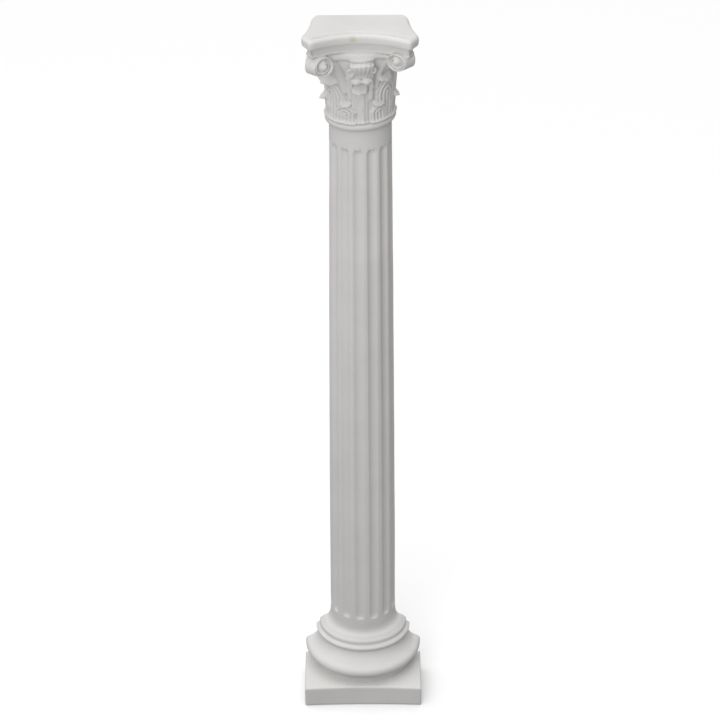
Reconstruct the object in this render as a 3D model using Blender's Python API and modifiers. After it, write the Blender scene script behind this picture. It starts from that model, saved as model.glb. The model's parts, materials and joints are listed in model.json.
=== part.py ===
"""Half column of the Corinthian order, cast in plaster as one piece with a flat back.

Metres, +Z up.  The front faces -Y and the flat back faces +Y.  The origin is the middle
of the plinth's underside.  From the floor up: a plinth, an Attic base, a fluted shaft
with entasis, an astragal, a bell with two rows of acanthus leaves, corner volutes and a
palmette, and an abacus with hollow sides and cut corners.
"""

import math
from collections import namedtuple

import bmesh
import bpy
from mathutils import Vector

# Plinth
PLINTH_WIDTH = 0.1212
PLINTH_DEPTH = 0.0630
PLINTH_HEIGHT = 0.0236
PLINTH_EDGE = 0.0016

# How far the round mouldings' axis stands in front of the flat back
AXIS_TO_BACK = 0.0010

# Attic base: each moulding's radius at its nose and its height
FOOT_RADIUS = 0.0525
FOOT_HEIGHT = 0.0090
LOWER_TORUS_RADIUS = 0.0603
LOWER_TORUS_HEIGHT = 0.0125
SCOTIA_RADIUS = 0.0463
SCOTIA_HEIGHT = 0.0128
SCOTIA_NOTCH = 0.1
SCOTIA_PULL = 0.0010
RING_RADIUS = 0.0492
RING_HEIGHT = 0.0046
UPPER_TORUS_RADIUS = 0.0455
UPPER_TORUS_HEIGHT = 0.0072
FLARE_RADIUS = 0.0405
FLARE_HEIGHT = 0.0158
FLARE_LIP = 0.0011
# Where round mouldings start on top and end below, in degrees, and how low their rounding is
ROLL_START_DEG = 90.0
TORUS_START_DEG = 65.0
ASTRAGAL_START_DEG = 100.0
ROLL_END_DEG = -88.0
ROLL_LOWNESS = 0.96
TORUS_UNDERCUT = 0.1
# How much the mouldings over the hollow are flattened in front
FLATTENING = 0.07

# Shaft and its flutes
SHAFT_HEIGHT = 0.5605
SHAFT_FOOT_RADIUS = 0.0336
SHAFT_NECK_RADIUS = 0.0293
ENTASIS_POWER = 1.5
FLUTES_ROUND = 14
FLUTE_TURN_DEG = -5.0
FLUTE_WIDTH = 0.0100
FLUTE_DEPTH = 0.0026
FLUTE_FOOT_GAP = 0.0050
FLUTE_NECK_GAP = 0.0165
FLUTE_END = 0.0060
FLUTE_END_SHARES = (0.0, 0.15, 0.45, 1.0)
# Flutes whose middle lies further round than this would fall behind the flat back
LAST_FLUTE_DEG = 112.0

# Astragal under the capital
ASTRAGAL_RADIUS = 0.0334
ASTRAGAL_HEIGHT = 0.0085
ASTRAGAL_FILLET = 0.0035

# Bell.  The waist swells up to the first share of the height and the shoulder between the others
BELL_HEIGHT = 0.0750
BELL_NECK_RADIUS = 0.0300
BELL_WAIST_RADIUS = 0.0312
BELL_SHOULDER_RADIUS = 0.0370
BELL_LIP_RADIUS = 0.0440
BELL_LIP_HEIGHT = 0.0058
LIP_NOSE = 0.6
LIP_ROUNDING = 0.75
BELL_SUNK = 0.4
WAIST_TOP = 0.6
SHOULDER_FOOT = 0.5
SHOULDER_TOP = 0.9

# Acanthus leaves.  Turn and tip turn are degrees from the front, the other values metres:
# half the body's width, the top of its arch, where it is widest, its nested ribs,
# the tip's lower edge over the astragal, half the tip's width, its reach and its slope's height
Leaf = namedtuple("Leaf", "turn half_width height widest ribs tip_turn tip_rise tip_half reach slope")
LOWER_LEAVES = (
    Leaf(-112.0, 0.0105, 0.0200, 0.0090, 3, -112.0, 0.0185, 0.0048, 0.0050, 0.0050),
    Leaf(-74.0, 0.0105, 0.0200, 0.0090, 3, -77.0, 0.0175, 0.0042, 0.0092, 0.0080),
    Leaf(-22.0, 0.0098, 0.0195, 0.0090, 3, -26.0, 0.0180, 0.0056, 0.0062, 0.0052),
    Leaf(29.0, 0.0086, 0.0185, 0.0085, 3, 33.0, 0.0172, 0.0054, 0.0060, 0.0052),
    Leaf(71.0, 0.0105, 0.0195, 0.0090, 3, 75.0, 0.0180, 0.0042, 0.0080, 0.0075),
    Leaf(112.0, 0.0105, 0.0200, 0.0090, 3, 112.0, 0.0185, 0.0048, 0.0046, 0.0050),
)
UPPER_LEAVES = (
    Leaf(-95.0, 0.0150, 0.0420, 0.0260, 4, -95.0, 0.0395, 0.0085, 0.0105, 0.0090),
    Leaf(-50.0, 0.0152, 0.0425, 0.0250, 4, -56.0, 0.0392, 0.0100, 0.0125, 0.0090),
    Leaf(44.0, 0.0112, 0.0430, 0.0270, 3, 40.0, 0.0425, 0.0078, 0.0088, 0.0062),
    Leaf(92.0, 0.0150, 0.0420, 0.0260, 4, 92.0, 0.0395, 0.0085, 0.0038, 0.0070),
)
MIDDLE_LEAF = Leaf(-0.5, 0.0078, 0.0400, 0.0250, 1, -1.0, 0.0335, 0.0076, 0.0092, 0.0080)
LEAF_THICKNESS = 0.0021
LEAF_GROOVE = 0.0014
LEAF_EDGE = 0.0018
TIP_SAG = 0.22

# Stalks beside the middle leaf: direction in degrees, lower and upper end over the astragal
STALKS = ((-17.8, 0.020, 0.050), (18.5, 0.020, 0.050))
STALK_HALF_WIDTH = 0.0028
STALK_LIFT = 0.0026
STALK_END = 0.0050

# Palmette over the middle leaf, its lobes spreading from a point under its foot
PALMETTE_FOOT = 0.0520
PALMETTE_BELOW = 0.0150
PALMETTE_HEIGHT = 0.0165
PALMETTE_HALF_WIDTH = 0.0118
PALMETTE_LIFT = 0.0098
PALMETTE_LOBES = 6
PALMETTE_TURN_DEG = 2.3
PALMETTE_EDGE = 0.0022
PALMETTE_LOBE_DEPTH = 0.2

# Pair of small scrolls under the palmette
SCROLL_PAIR_RISE = 0.0468
SCROLL_PAIR_APART = 0.0045
SCROLL_PAIR_LIFT = 0.0078
SCROLL_PAIR_RADIUS = 0.0052

# Corner volutes
VOLUTE_TURN_DEG = 42.0
VOLUTE_RADIUS = 0.0094
VOLUTE_REACH = 0.0676
VOLUTE_DROP = 0.0076
# How much higher than its middle place the right scroll sits, and the left lower
VOLUTE_SKEW = 0.0012
VOLUTE_RIM_BREADTH = 0.0130
VOLUTE_RIM_EDGE = 0.0008
VOLUTE_SPREAD = 0.66
VOLUTE_TURNS = 1.4
VOLUTE_GROOVE = 0.0024
VOLUTE_EYE_RADIUS = 0.0031
VOLUTE_EYE_LIFT = 0.0016
# The spiral's groove fades into the rim between these shares of the radius
SPIRAL_FADE = 0.82
SPIRAL_END = 0.95

# Swelling that carries a volute out from the bell: its reach, its half widths towards
# the front and the side, and the share of the bell's height where it starts left and right
WEB_REACH = 0.0170
WEB_FRONT_HALF_WIDTH = 0.0060
WEB_SIDE_HALF_WIDTH = 0.0085
WEB_START_LEFT = 0.52
WEB_START_RIGHT = 0.66
WEB_TOP = 0.93
WEB_POWER = 1.4

# The ornament leans in its soft mould: left side low
CASTING_LEAN_DEG = 2.3
LEAN_END = 0.2

# Abacus
ABACUS_HORN = 0.0450
ABACUS_FRONT = 0.0592
ABACUS_SIDE = 0.0537
ABACUS_CUT = 0.0140
ABACUS_CORNER_ROUND = 0.0050
ABACUS_BACK_ROUND = 0.0060
# How far the rounding of the back corners runs on behind the flat back, as a share of it
ABACUS_BACK_RUN_ON = 0.12
ABACUS_FRONT_HOLLOW = 0.0155
ABACUS_SIDE_HOLLOW = 0.0092
ABACUS_BAND_HEIGHT = 0.0095
ABACUS_BAND_INSET = 0.0042
ABACUS_SLAB_HEIGHT = 0.0095
ABACUS_SLAB_EDGE = 0.0026
ABACUS_BAND_EDGE = 0.0010
BAND_SUNK = 0.3

# Plaster
PLASTER_COLOUR = (0.80, 0.80, 0.79, 1.0)
PLASTER_ROUGHNESS = 0.80

# Facets
SHAFT_SIDES = 64
BELL_SIDES = 128
BELL_LEVELS = 33
FLUTE_SIDES = 12
ARC_STEPS = 4
OUTLINE_STEPS = 12
VOLUTE_SIDES = 24
VOLUTE_RINGS = 5
MERGE = 0.00001
OVERLAP = 0.0040
FLAT_WITHIN_DEG = 1.2
SMOOTH_WITHIN_DEG = 35.0
SHAFT_RUNS = 8
FLUTE_RUNS = 6

# Levels worked out from the sizes above
AXIS_Y = 0.5 * PLINTH_DEPTH - AXIS_TO_BACK
BACK_Y = 0.5 * PLINTH_DEPTH
FOOT_TOP = PLINTH_HEIGHT + FOOT_HEIGHT
LOWER_TORUS_TOP = FOOT_TOP + LOWER_TORUS_HEIGHT
SCOTIA_TOP = LOWER_TORUS_TOP + SCOTIA_HEIGHT
RING_TOP = SCOTIA_TOP + RING_HEIGHT
UPPER_TORUS_TOP = RING_TOP + UPPER_TORUS_HEIGHT
SHAFT_FOOT = UPPER_TORUS_TOP + FLARE_HEIGHT
SHAFT_NECK = SHAFT_FOOT + SHAFT_HEIGHT
ASTRAGAL_TOP = SHAFT_NECK + ASTRAGAL_FILLET + ASTRAGAL_HEIGHT
BELL_TOP = ASTRAGAL_TOP + BELL_HEIGHT
BAND_TOP = BELL_TOP + ABACUS_BAND_HEIGHT
COLUMN_TOP = BAND_TOP + ABACUS_SLAB_HEIGHT


def ease(low, high, value):
    """Rises smoothly from 0 at low to 1 at high."""
    share = min(max((value - low) / (high - low), 0.0), 1.0)
    return share * share * (3.0 - 2.0 * share)


def dome(distance, reach):
    """A round hump: 1 in the middle, 0 at the reach and beyond."""
    return math.sqrt(max(0.0, 1.0 - (distance / reach) ** 2))


def shaft_radius(z):
    """The shaft's radius at a height, with its entasis."""
    share = min(max((z - SHAFT_FOOT) / SHAFT_HEIGHT, 0.0), 1.0)
    return SHAFT_FOOT_RADIUS - (SHAFT_FOOT_RADIUS - SHAFT_NECK_RADIUS) * share**ENTASIS_POWER


def bell_radius(rise):
    """The bare bell's radius at a height above the astragal, up to its lip."""
    share = rise / BELL_HEIGHT
    waist = (BELL_WAIST_RADIUS - BELL_NECK_RADIUS) * ease(0.0, WAIST_TOP, share)
    shoulder = (BELL_SHOULDER_RADIUS - BELL_WAIST_RADIUS) * ease(SHOULDER_FOOT, SHOULDER_TOP, share)
    middle = BELL_HEIGHT - LIP_NOSE * BELL_LIP_HEIGHT
    lip = (BELL_LIP_RADIUS - BELL_SHOULDER_RADIUS) * dome(rise - middle, LIP_ROUNDING * BELL_LIP_HEIGHT)
    return BELL_NECK_RADIUS + waist + shoulder + lip


def arc(centre_r, centre_z, half_r, half_z, start_deg, end_deg):
    """Points of an elliptic arc in the profile plane."""
    points = []
    for step in range(ARC_STEPS + 1):
        angle = math.radians(start_deg + (end_deg - start_deg) * step / ARC_STEPS)
        points.append((centre_r + half_r * math.cos(angle), centre_z + half_z * math.sin(angle)))
    return points


def roll(nose_radius, bottom, top, start_deg):
    """A half-round moulding between two levels, from its top round to its underside."""
    half = 0.5 * (top - bottom)
    return arc(nose_radius - half, bottom + half, half, ROLL_LOWNESS * half, start_deg, ROLL_END_DEG)


def sweep(start, bend, end):
    """A smooth hollow between two points, pulled towards a third."""
    points = []
    for step in range(1, ARC_STEPS + 1):
        share = step / (ARC_STEPS + 1)
        near, pull, far = (1.0 - share) ** 2, 2.0 * share * (1.0 - share), share**2
        points.append(tuple(near * a + pull * b + far * c for a, b, c in zip(start, bend, end)))
    return points


def shaft_profile():
    """The outer side of base, shaft and astragal, from the top down, closed on the axis."""
    inside_bell = ASTRAGAL_TOP + OVERLAP
    points = [(0.0, inside_bell), (BELL_NECK_RADIUS - OVERLAP, inside_bell)]
    points += roll(ASTRAGAL_RADIUS, ASTRAGAL_TOP - ASTRAGAL_HEIGHT, ASTRAGAL_TOP, ASTRAGAL_START_DEG)
    points.append((SHAFT_NECK_RADIUS, SHAFT_NECK))
    for step in range(1, SHAFT_RUNS):
        z = SHAFT_NECK - SHAFT_HEIGHT * step / SHAFT_RUNS
        points.append((shaft_radius(z), z))
    flare_foot = (FLARE_RADIUS, UPPER_TORUS_TOP + 2.0 * FLARE_LIP)
    points += sweep((SHAFT_FOOT_RADIUS, SHAFT_FOOT), (SHAFT_FOOT_RADIUS, flare_foot[1]), flare_foot)
    points += roll(FLARE_RADIUS + FLARE_LIP, UPPER_TORUS_TOP, flare_foot[1], ROLL_START_DEG)
    points += roll(UPPER_TORUS_RADIUS, RING_TOP, UPPER_TORUS_TOP, ROLL_START_DEG)
    points += roll(RING_RADIUS, SCOTIA_TOP, RING_TOP, ROLL_START_DEG)
    torus = roll(LOWER_TORUS_RADIUS, FOOT_TOP, LOWER_TORUS_TOP, TORUS_START_DEG)
    notch = (SCOTIA_RADIUS, SCOTIA_TOP - SCOTIA_NOTCH * SCOTIA_HEIGHT)
    points.append(notch)
    pull = (SCOTIA_RADIUS + SCOTIA_PULL, LOWER_TORUS_TOP + 2.0 * SCOTIA_NOTCH * SCOTIA_HEIGHT)
    points += sweep(notch, pull, torus[0])
    points += torus
    inside_plinth = PLINTH_HEIGHT - OVERLAP
    under_torus = FOOT_TOP - TORUS_UNDERCUT * LOWER_TORUS_HEIGHT
    points += [(FOOT_RADIUS, under_torus), (FOOT_RADIUS, inside_plinth), (0.0, inside_plinth)]
    return points


def bell_profile():
    """The bare bell from inside the abacus down to inside the astragal."""
    foot = -BELL_SUNK * ASTRAGAL_HEIGHT
    inside = BELL_SHOULDER_RADIUS - OVERLAP
    points = [(0.0, BELL_TOP + OVERLAP), (inside, BELL_TOP + OVERLAP)]
    for step in range(BELL_LEVELS + 1):
        rise = BELL_HEIGHT + (foot - BELL_HEIGHT) * step / BELL_LEVELS
        points.append((bell_radius(rise), ASTRAGAL_TOP + rise))
    points.append((0.0, ASTRAGAL_TOP + foot))
    return points


def turned(name, profile, sides, parts):
    """A solid turned about the column's axis, its modifiers applied."""
    mesh = bpy.data.meshes.new(name)
    shape = bmesh.new()
    verts = [shape.verts.new((radius, 0.0, z)) for radius, z in profile]
    for upper, lower in zip(verts, verts[1:]):
        shape.edges.new((upper, lower))
    shape.to_mesh(mesh)
    shape.free()
    piece = bpy.data.objects.new(name, mesh)
    piece.location = (0.0, AXIS_Y, 0.0)
    parts.objects.link(piece)
    screw = piece.modifiers.new("Turn", "SCREW")
    screw.steps = sides
    screw.render_steps = sides
    screw.use_merge_vertices = True
    screw.merge_threshold = MERGE
    return settled(piece, parts)


def settled(piece, parts):
    """Replaces an object by the mesh it evaluates to, welded, at the origin."""
    bpy.context.view_layer.update()
    evaluated = piece.evaluated_get(bpy.context.evaluated_depsgraph_get())
    mesh = bpy.data.meshes.new_from_object(evaluated)
    mesh.transform(piece.matrix_world)
    shape = bmesh.new()
    shape.from_mesh(mesh)
    bmesh.ops.remove_doubles(shape, verts=shape.verts, dist=MERGE)
    bmesh.ops.recalc_face_normals(shape, faces=shape.faces)
    shape.to_mesh(mesh)
    shape.free()
    name = piece.name
    bpy.data.objects.remove(piece)
    result = bpy.data.objects.new(name, mesh)
    parts.objects.link(result)
    return result


def triangulated(piece):
    """Splits a piece's faces into triangles, because a bent face has no one plane to cut."""
    shape = bmesh.new()
    shape.from_mesh(piece.data)
    bmesh.ops.triangulate(shape, faces=shape.faces)
    shape.to_mesh(piece.data)
    shape.free()


def combine(body, tool, operation, carefully=False):
    """Joins a tool to the body or cuts it away, then removes the tool.

    Carefully also sorts out places where the body touches itself, which takes longer.
    """
    triangulated(body)
    triangulated(tool)
    boolean = body.modifiers.new(operation, "BOOLEAN")
    boolean.operation = operation
    boolean.object = tool
    boolean.solver = "EXACT"
    boolean.use_self = carefully
    bpy.context.view_layer.update()
    evaluated = body.evaluated_get(bpy.context.evaluated_depsgraph_get())
    mesh = bpy.data.meshes.new_from_object(evaluated)
    body.modifiers.clear()
    body.data = mesh
    bpy.data.objects.remove(tool)


def simplified(piece):
    """Joins the slivers that cutting left in faces that are nearly flat."""
    shape = bmesh.new()
    shape.from_mesh(piece.data)
    bmesh.ops.dissolve_degenerate(shape, dist=MERGE, edges=shape.edges)
    limit = math.radians(FLAT_WITHIN_DEG)
    bmesh.ops.dissolve_limit(
        shape, angle_limit=limit, verts=shape.verts, edges=shape.edges, delimit={"NORMAL"}
    )
    bmesh.ops.triangulate(shape, faces=shape.faces)
    shape.to_mesh(piece.data)
    shape.free()


def flute_cutter(turn, cutters):
    """A rod along the shaft that scoops one flute with rounded ends."""
    rod = (0.25 * FLUTE_WIDTH**2 + FLUTE_DEPTH**2) / (2.0 * FLUTE_DEPTH)
    foot = SHAFT_FOOT + FLUTE_FOOT_GAP
    neck = SHAFT_NECK - FLUTE_NECK_GAP
    heights = [(foot + FLUTE_END * share, share) for share in FLUTE_END_SHARES]
    for step in range(1, FLUTE_RUNS):
        heights.append((foot + FLUTE_END + (neck - foot - 2.0 * FLUTE_END) * step / FLUTE_RUNS, 1.0))
    heights += [(neck - FLUTE_END * share, share) for share in reversed(FLUTE_END_SHARES)]
    curve = bpy.data.curves.new("flute_rod", "CURVE")
    curve.dimensions = "3D"
    curve.bevel_depth = rod
    curve.bevel_resolution = (FLUTE_SIDES - 4) // 2
    curve.use_fill_caps = True
    spline = curve.splines.new("POLY")
    spline.points.add(len(heights) - 1)
    for point, (z, share) in zip(spline.points, heights):
        scoop = FLUTE_DEPTH * math.sqrt(1.0 - (1.0 - share) ** 2)
        out = shaft_radius(z) + rod - scoop
        point.co = (out * math.sin(turn), AXIS_Y - out * math.cos(turn), z, 1.0)
    cutter = bpy.data.objects.new("flute_rod", curve)
    cutters.objects.link(cutter)
    return as_cutter(settled(cutter, cutters))


def as_cutter(piece):
    """Marks an object as a tool that is not part of the column."""
    piece.hide_render = True
    piece.display_type = "WIRE"
    return piece


def front_flattened(place):
    """How far out a point lies once the mouldings over the hollow are flattened in front."""
    rising = ease(LOWER_TORUS_TOP, SCOTIA_TOP, place.z) * (1.0 - ease(UPPER_TORUS_TOP, SHAFT_FOOT, place.z))
    return AXIS_Y + (place.y - AXIS_Y) * (1.0 - FLATTENING * rising)


def leaf_body(leaf, across, rise):
    """How far a leaf's body stands off the bell: an arch with ribs nested in its outline."""
    above = max(0.0, (rise - leaf.widest) / (leaf.height - leaf.widest))
    nest = math.hypot(across / leaf.half_width, above)
    blade = ease(0.0, LEAF_EDGE, leaf.half_width * (1.0 - nest))
    rib = 0.5 + 0.5 * math.cos(2.0 * math.pi * leaf.ribs * nest)
    return blade * (LEAF_THICKNESS - LEAF_GROOVE * (1.0 - rib))


def leaf_tip(leaf, across, rise):
    """A leaf's tip: a visor that curls out over the body and slopes back up to the bell."""
    beside = across / leaf.tip_half
    edge = leaf.tip_rise + TIP_SAG * leaf.reach * beside * beside
    under = ease(edge - 2.0 * TIP_SAG * leaf.reach, edge, rise)
    over = 1.0 - min(max((rise - edge) / leaf.slope, 0.0), 1.0)
    return leaf.reach * dome(beside, 1.0) * under * over


def stalk_lift(turn, radius, rise):
    """The round stalks that rise on both sides of the middle leaf."""
    lift = 0.0
    for direction, foot, top in STALKS:
        across = radius * (turn - math.radians(direction))
        along = ease(foot, foot + STALK_END, rise) * (1.0 - ease(top - STALK_END, top, rise))
        lift = max(lift, STALK_LIFT * dome(across, STALK_HALF_WIDTH) * along)
    return lift


def palmette_lift(across, rise):
    """The fan over the middle leaf, its lobes spreading from a point under its foot."""
    up = rise - PALMETTE_FOOT + PALMETTE_BELOW
    widest = math.atan2(PALMETTE_HALF_WIDTH, PALMETTE_HEIGHT + PALMETTE_BELOW)
    beside = math.atan2(across, up) / widest
    if abs(beside) >= 1.0:
        return 0.0
    far = math.hypot(across, up) - PALMETTE_BELOW
    lobe = abs(math.sin(0.5 * math.pi * PALMETTE_LOBES * (beside + 1.0)))
    lobes = 1.0 - PALMETTE_LOBE_DEPTH * (1.0 - lobe)
    crest = 1.0 - ease(PALMETTE_HEIGHT - PALMETTE_EDGE, PALMETTE_HEIGHT, far)
    return PALMETTE_LIFT * dome(beside, 1.0) * lobes * crest * ease(0.0, PALMETTE_EDGE, far)


def scroll_pair_lift(across, rise):
    """Two small scrolls that meet in the middle under the palmette."""
    off = math.hypot(abs(across) - SCROLL_PAIR_APART, rise - SCROLL_PAIR_RISE)
    return SCROLL_PAIR_LIFT * dome(off, SCROLL_PAIR_RADIUS)


def web_lift(turn, rise):
    """The swelling under a volute, hollow under the right one."""
    share = rise / BELL_HEIGHT
    beside = BELL_WAIST_RADIUS * (abs(turn) - math.radians(VOLUTE_TURN_DEG))
    half_width = WEB_SIDE_HALF_WIDTH if beside > 0.0 else WEB_FRONT_HALF_WIDTH
    start = WEB_START_RIGHT if turn > 0.0 else WEB_START_LEFT
    rising = min(max((share - start) / (WEB_TOP - start), 0.0), 1.0) ** WEB_POWER
    return WEB_REACH * rising * math.exp(-((beside / half_width) ** 2))


def ornament_lift(turn, radius, rise):
    """How far leaves, stalks, palmette and the swellings under the volutes stand off the bell."""
    lift = 0.0
    for leaf in LOWER_LEAVES + UPPER_LEAVES + (MIDDLE_LEAF,):
        lift = max(lift, leaf_body(leaf, radius * (turn - math.radians(leaf.turn)), rise))
        lift = max(lift, leaf_tip(leaf, radius * (turn - math.radians(leaf.tip_turn)), rise))
    across = radius * (turn - math.radians(PALMETTE_TURN_DEG))
    lift = max(lift, palmette_lift(across, rise), scroll_pair_lift(across, rise))
    return max(lift, stalk_lift(turn, radius, rise), web_lift(turn, rise))


def leaned(piece):
    """Lowers a piece's left side and raises its right, between shaft and abacus."""
    for vertex in piece.data.vertices:
        place = vertex.co
        low = ease(SHAFT_NECK - FLUTE_NECK_GAP, SHAFT_NECK, place.z)
        high = 1.0 - ease(BELL_TOP - BELL_LIP_HEIGHT, BELL_TOP + LEAN_END * ABACUS_BAND_HEIGHT, place.z)
        place.z += place.x * math.tan(math.radians(CASTING_LEAN_DEG)) * min(low, high)
    return piece


def carved_bell(parts):
    """The bell with its leaves, palmette and volute webs raised on it."""
    bell = turned("bell", bell_profile(), BELL_SIDES, parts)
    for vertex in bell.data.vertices:
        place = vertex.co
        flat = Vector((place.x, place.y - AXIS_Y))
        radius = flat.length
        rise = place.z - ASTRAGAL_TOP
        if radius < 0.5 * BELL_NECK_RADIUS or not 0.0 < rise < BELL_HEIGHT + 0.5 * OVERLAP:
            continue
        turn = math.atan2(flat.x, -flat.y)
        grown = 1.0 + ornament_lift(turn, radius, rise) / radius
        place.x = flat.x * grown
        place.y = AXIS_Y + flat.y * grown
    return bell


def spiral_depth(off, angle):
    """Depth of the groove that winds into a volute's face."""
    if off < VOLUTE_EYE_RADIUS:
        return 0.0
    pitch = (VOLUTE_RADIUS - VOLUTE_EYE_RADIUS) / VOLUTE_TURNS
    phase = (off - VOLUTE_EYE_RADIUS) / pitch - angle / (2.0 * math.pi)
    groove = 0.5 - 0.5 * math.cos(2.0 * math.pi * phase)
    return VOLUTE_GROOVE * groove * (1.0 - ease(SPIRAL_FADE, SPIRAL_END, off / VOLUTE_RADIUS))


def volute(side, parts):
    """A corner scroll: a wedge-shaped drum on the diagonal with a spiral on each face."""
    shape = bmesh.new()
    bmesh.ops.create_cone(
        shape, cap_ends=True, segments=VOLUTE_SIDES, radius1=VOLUTE_RADIUS, radius2=VOLUTE_RADIUS, depth=2.0
    )
    for ring in range(1, VOLUTE_RINGS):
        caps = [face for face in shape.faces if len(face.verts) == VOLUTE_SIDES]
        width = VOLUTE_RADIUS / VOLUTE_RINGS
        bmesh.ops.inset_individual(shape, faces=caps, thickness=width, use_even_offset=True)
    caps = [face for face in shape.faces if len(face.verts) == VOLUTE_SIDES]
    bmesh.ops.poke(shape, faces=caps)
    turn = math.radians(VOLUTE_TURN_DEG)
    out = Vector((side * math.sin(turn), -math.cos(turn), 0.0))
    facing = Vector((-side * out.y, side * out.x, 0.0))
    up = Vector((0.0, 0.0, 1.0))
    eye_height = BELL_TOP - VOLUTE_DROP + side * VOLUTE_SKEW
    centre = out * (VOLUTE_REACH - VOLUTE_RADIUS) + Vector((0.0, AXIS_Y, eye_height))
    for vertex in shape.verts:
        along, high = vertex.co.x, vertex.co.y
        off = math.hypot(along, high)
        half = 0.5 * VOLUTE_RIM_BREADTH + 0.5 * VOLUTE_SPREAD * (VOLUTE_RADIUS - along)
        if off < VOLUTE_RADIUS - MERGE:
            angle = math.atan2(high, along) % (2.0 * math.pi)
            half += VOLUTE_EYE_LIFT * dome(off, VOLUTE_EYE_RADIUS) - spiral_depth(off, angle)
        else:
            half -= VOLUTE_RIM_EDGE
        vertex.co = centre + out * along + up * high + facing * math.copysign(half, vertex.co.z)
    bmesh.ops.recalc_face_normals(shape, faces=shape.faces)
    mesh = bpy.data.meshes.new("volute")
    shape.to_mesh(mesh)
    shape.free()
    piece = bpy.data.objects.new("volute", mesh)
    parts.objects.link(piece)
    return piece


def hollow_side(start, end, hollow):
    """Points from start towards end along an arc that bends in to the left."""
    chord = end - start
    half = 0.5 * chord.length
    radius = (half * half + hollow * hollow) / (2.0 * hollow)
    middle = 0.5 * (start + end)
    inward = Vector((-chord.y, chord.x)).normalized()
    centre = middle - inward * (radius - hollow)
    along = chord.normalized()
    spread = math.asin(half / radius)
    points = []
    for step in range(OUTLINE_STEPS):
        angle = spread * (2.0 * step / OUTLINE_STEPS - 1.0)
        points.append(centre + radius * (inward * math.cos(angle) + along * math.sin(angle)))
    return points


def rounded(before, corner, after):
    """Points that round off a corner of an outline."""
    start = corner + ABACUS_CORNER_ROUND * (before - corner).normalized()
    end = corner + ABACUS_CORNER_ROUND * (after - corner).normalized()
    return [start] + [Vector(point) for point in sweep(start, corner, end)] + [end]


def abacus_outline(corners_rounded):
    """The abacus seen from above: hollow front and sides, cut corners, its back run on behind."""
    axis = Vector((0.0, AXIS_Y))
    front_right = axis + Vector((ABACUS_HORN, -ABACUS_FRONT))
    side_right = axis + Vector((ABACUS_SIDE, -ABACUS_FRONT + ABACUS_CUT))
    far_right = axis + Vector((ABACUS_SIDE, ABACUS_FRONT - ABACUS_CUT))
    front_left = Vector((-front_right.x, front_right.y))
    front = hollow_side(front_left, front_right, ABACUS_FRONT_HOLLOW)
    side = hollow_side(side_right, far_right, ABACUS_SIDE_HOLLOW)
    if corners_rounded:
        right = rounded(front[-1], front_right, side_right) + rounded(front_right, side_right, side[1])
        corner_y = BACK_Y - ABACUS_BACK_ROUND
        right += [point for point in side[1:] if point.y < corner_y]
        depth = ABACUS_BACK_ROUND * (1.0 + ABACUS_BACK_RUN_ON)
        for step in range(ARC_STEPS + 1):
            angle = 0.5 * math.pi * step / ARC_STEPS
            x = ABACUS_SIDE - ABACUS_SIDE_HOLLOW - ABACUS_BACK_ROUND * (1.0 - math.cos(angle))
            right.append(Vector((x, corner_y + depth * math.sin(angle))))
    else:
        right = [front_right] + side + [far_right]
    left = [Vector((-point.x, point.y)) for point in reversed(right)]
    return front[1:] + right + left


def moulded_slab(name, outline, levels, inset, edge, parts):
    """The abacus outline as a slab with rounded edges, drawn in by an inset."""
    bottom, top = levels
    curve = bpy.data.curves.new(name, "CURVE")
    curve.dimensions = "2D"
    curve.fill_mode = "BOTH"
    curve.extrude = 0.5 * (top - bottom) - edge
    curve.bevel_depth = edge
    curve.bevel_resolution = 1
    curve.offset = -inset - edge
    spline = curve.splines.new("POLY")
    spline.points.add(len(outline) - 1)
    for point, place in zip(spline.points, outline):
        point.co = (place.x, place.y, 0.0, 1.0)
    spline.use_cyclic_u = True
    slab = bpy.data.objects.new(name, curve)
    slab.location = (0.0, 0.0, 0.5 * (top + bottom))
    parts.objects.link(slab)
    return settled(slab, parts)


def plinth(parts):
    """The square block the base stands on, its edges softened."""
    shape = bmesh.new()
    bmesh.ops.create_cube(shape, size=1.0)
    bmesh.ops.scale(shape, verts=shape.verts, vec=(PLINTH_WIDTH, PLINTH_DEPTH + OVERLAP, PLINTH_HEIGHT))
    bmesh.ops.translate(shape, verts=shape.verts, vec=(0.0, 0.5 * OVERLAP, 0.5 * PLINTH_HEIGHT))
    upright = [edge for edge in shape.edges if all(face.normal.y < 0.5 for face in edge.link_faces)]
    bmesh.ops.bevel(
        shape, geom=upright, offset=PLINTH_EDGE, segments=2, profile=0.5, affect="EDGES", material=-1
    )
    mesh = bpy.data.meshes.new("plinth")
    shape.to_mesh(mesh)
    shape.free()
    piece = bpy.data.objects.new("plinth", mesh)
    parts.objects.link(piece)
    return piece


def back_block(cutters):
    """The block behind the flat back, cut away from everything."""
    shape = bmesh.new()
    bmesh.ops.create_cube(shape, size=1.0)
    size = (2.0 * PLINTH_WIDTH, 2.0 * PLINTH_DEPTH, 2.0 * COLUMN_TOP)
    bmesh.ops.scale(shape, verts=shape.verts, vec=size)
    bmesh.ops.translate(shape, verts=shape.verts, vec=(0.0, BACK_Y + PLINTH_DEPTH, 0.5 * COLUMN_TOP))
    mesh = bpy.data.meshes.new("back_block")
    shape.to_mesh(mesh)
    shape.free()
    block = bpy.data.objects.new("back_block", mesh)
    cutters.objects.link(block)
    return as_cutter(block)


def plaster():
    """Matt white cast plaster."""
    material = bpy.data.materials.new("plaster")
    material.use_nodes = True
    shader = material.node_tree.nodes["Principled BSDF"]
    shader.inputs["Base Color"].default_value = PLASTER_COLOUR
    shader.inputs["Roughness"].default_value = PLASTER_ROUGHNESS
    shader.inputs["Metallic"].default_value = 0.0
    return material


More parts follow.
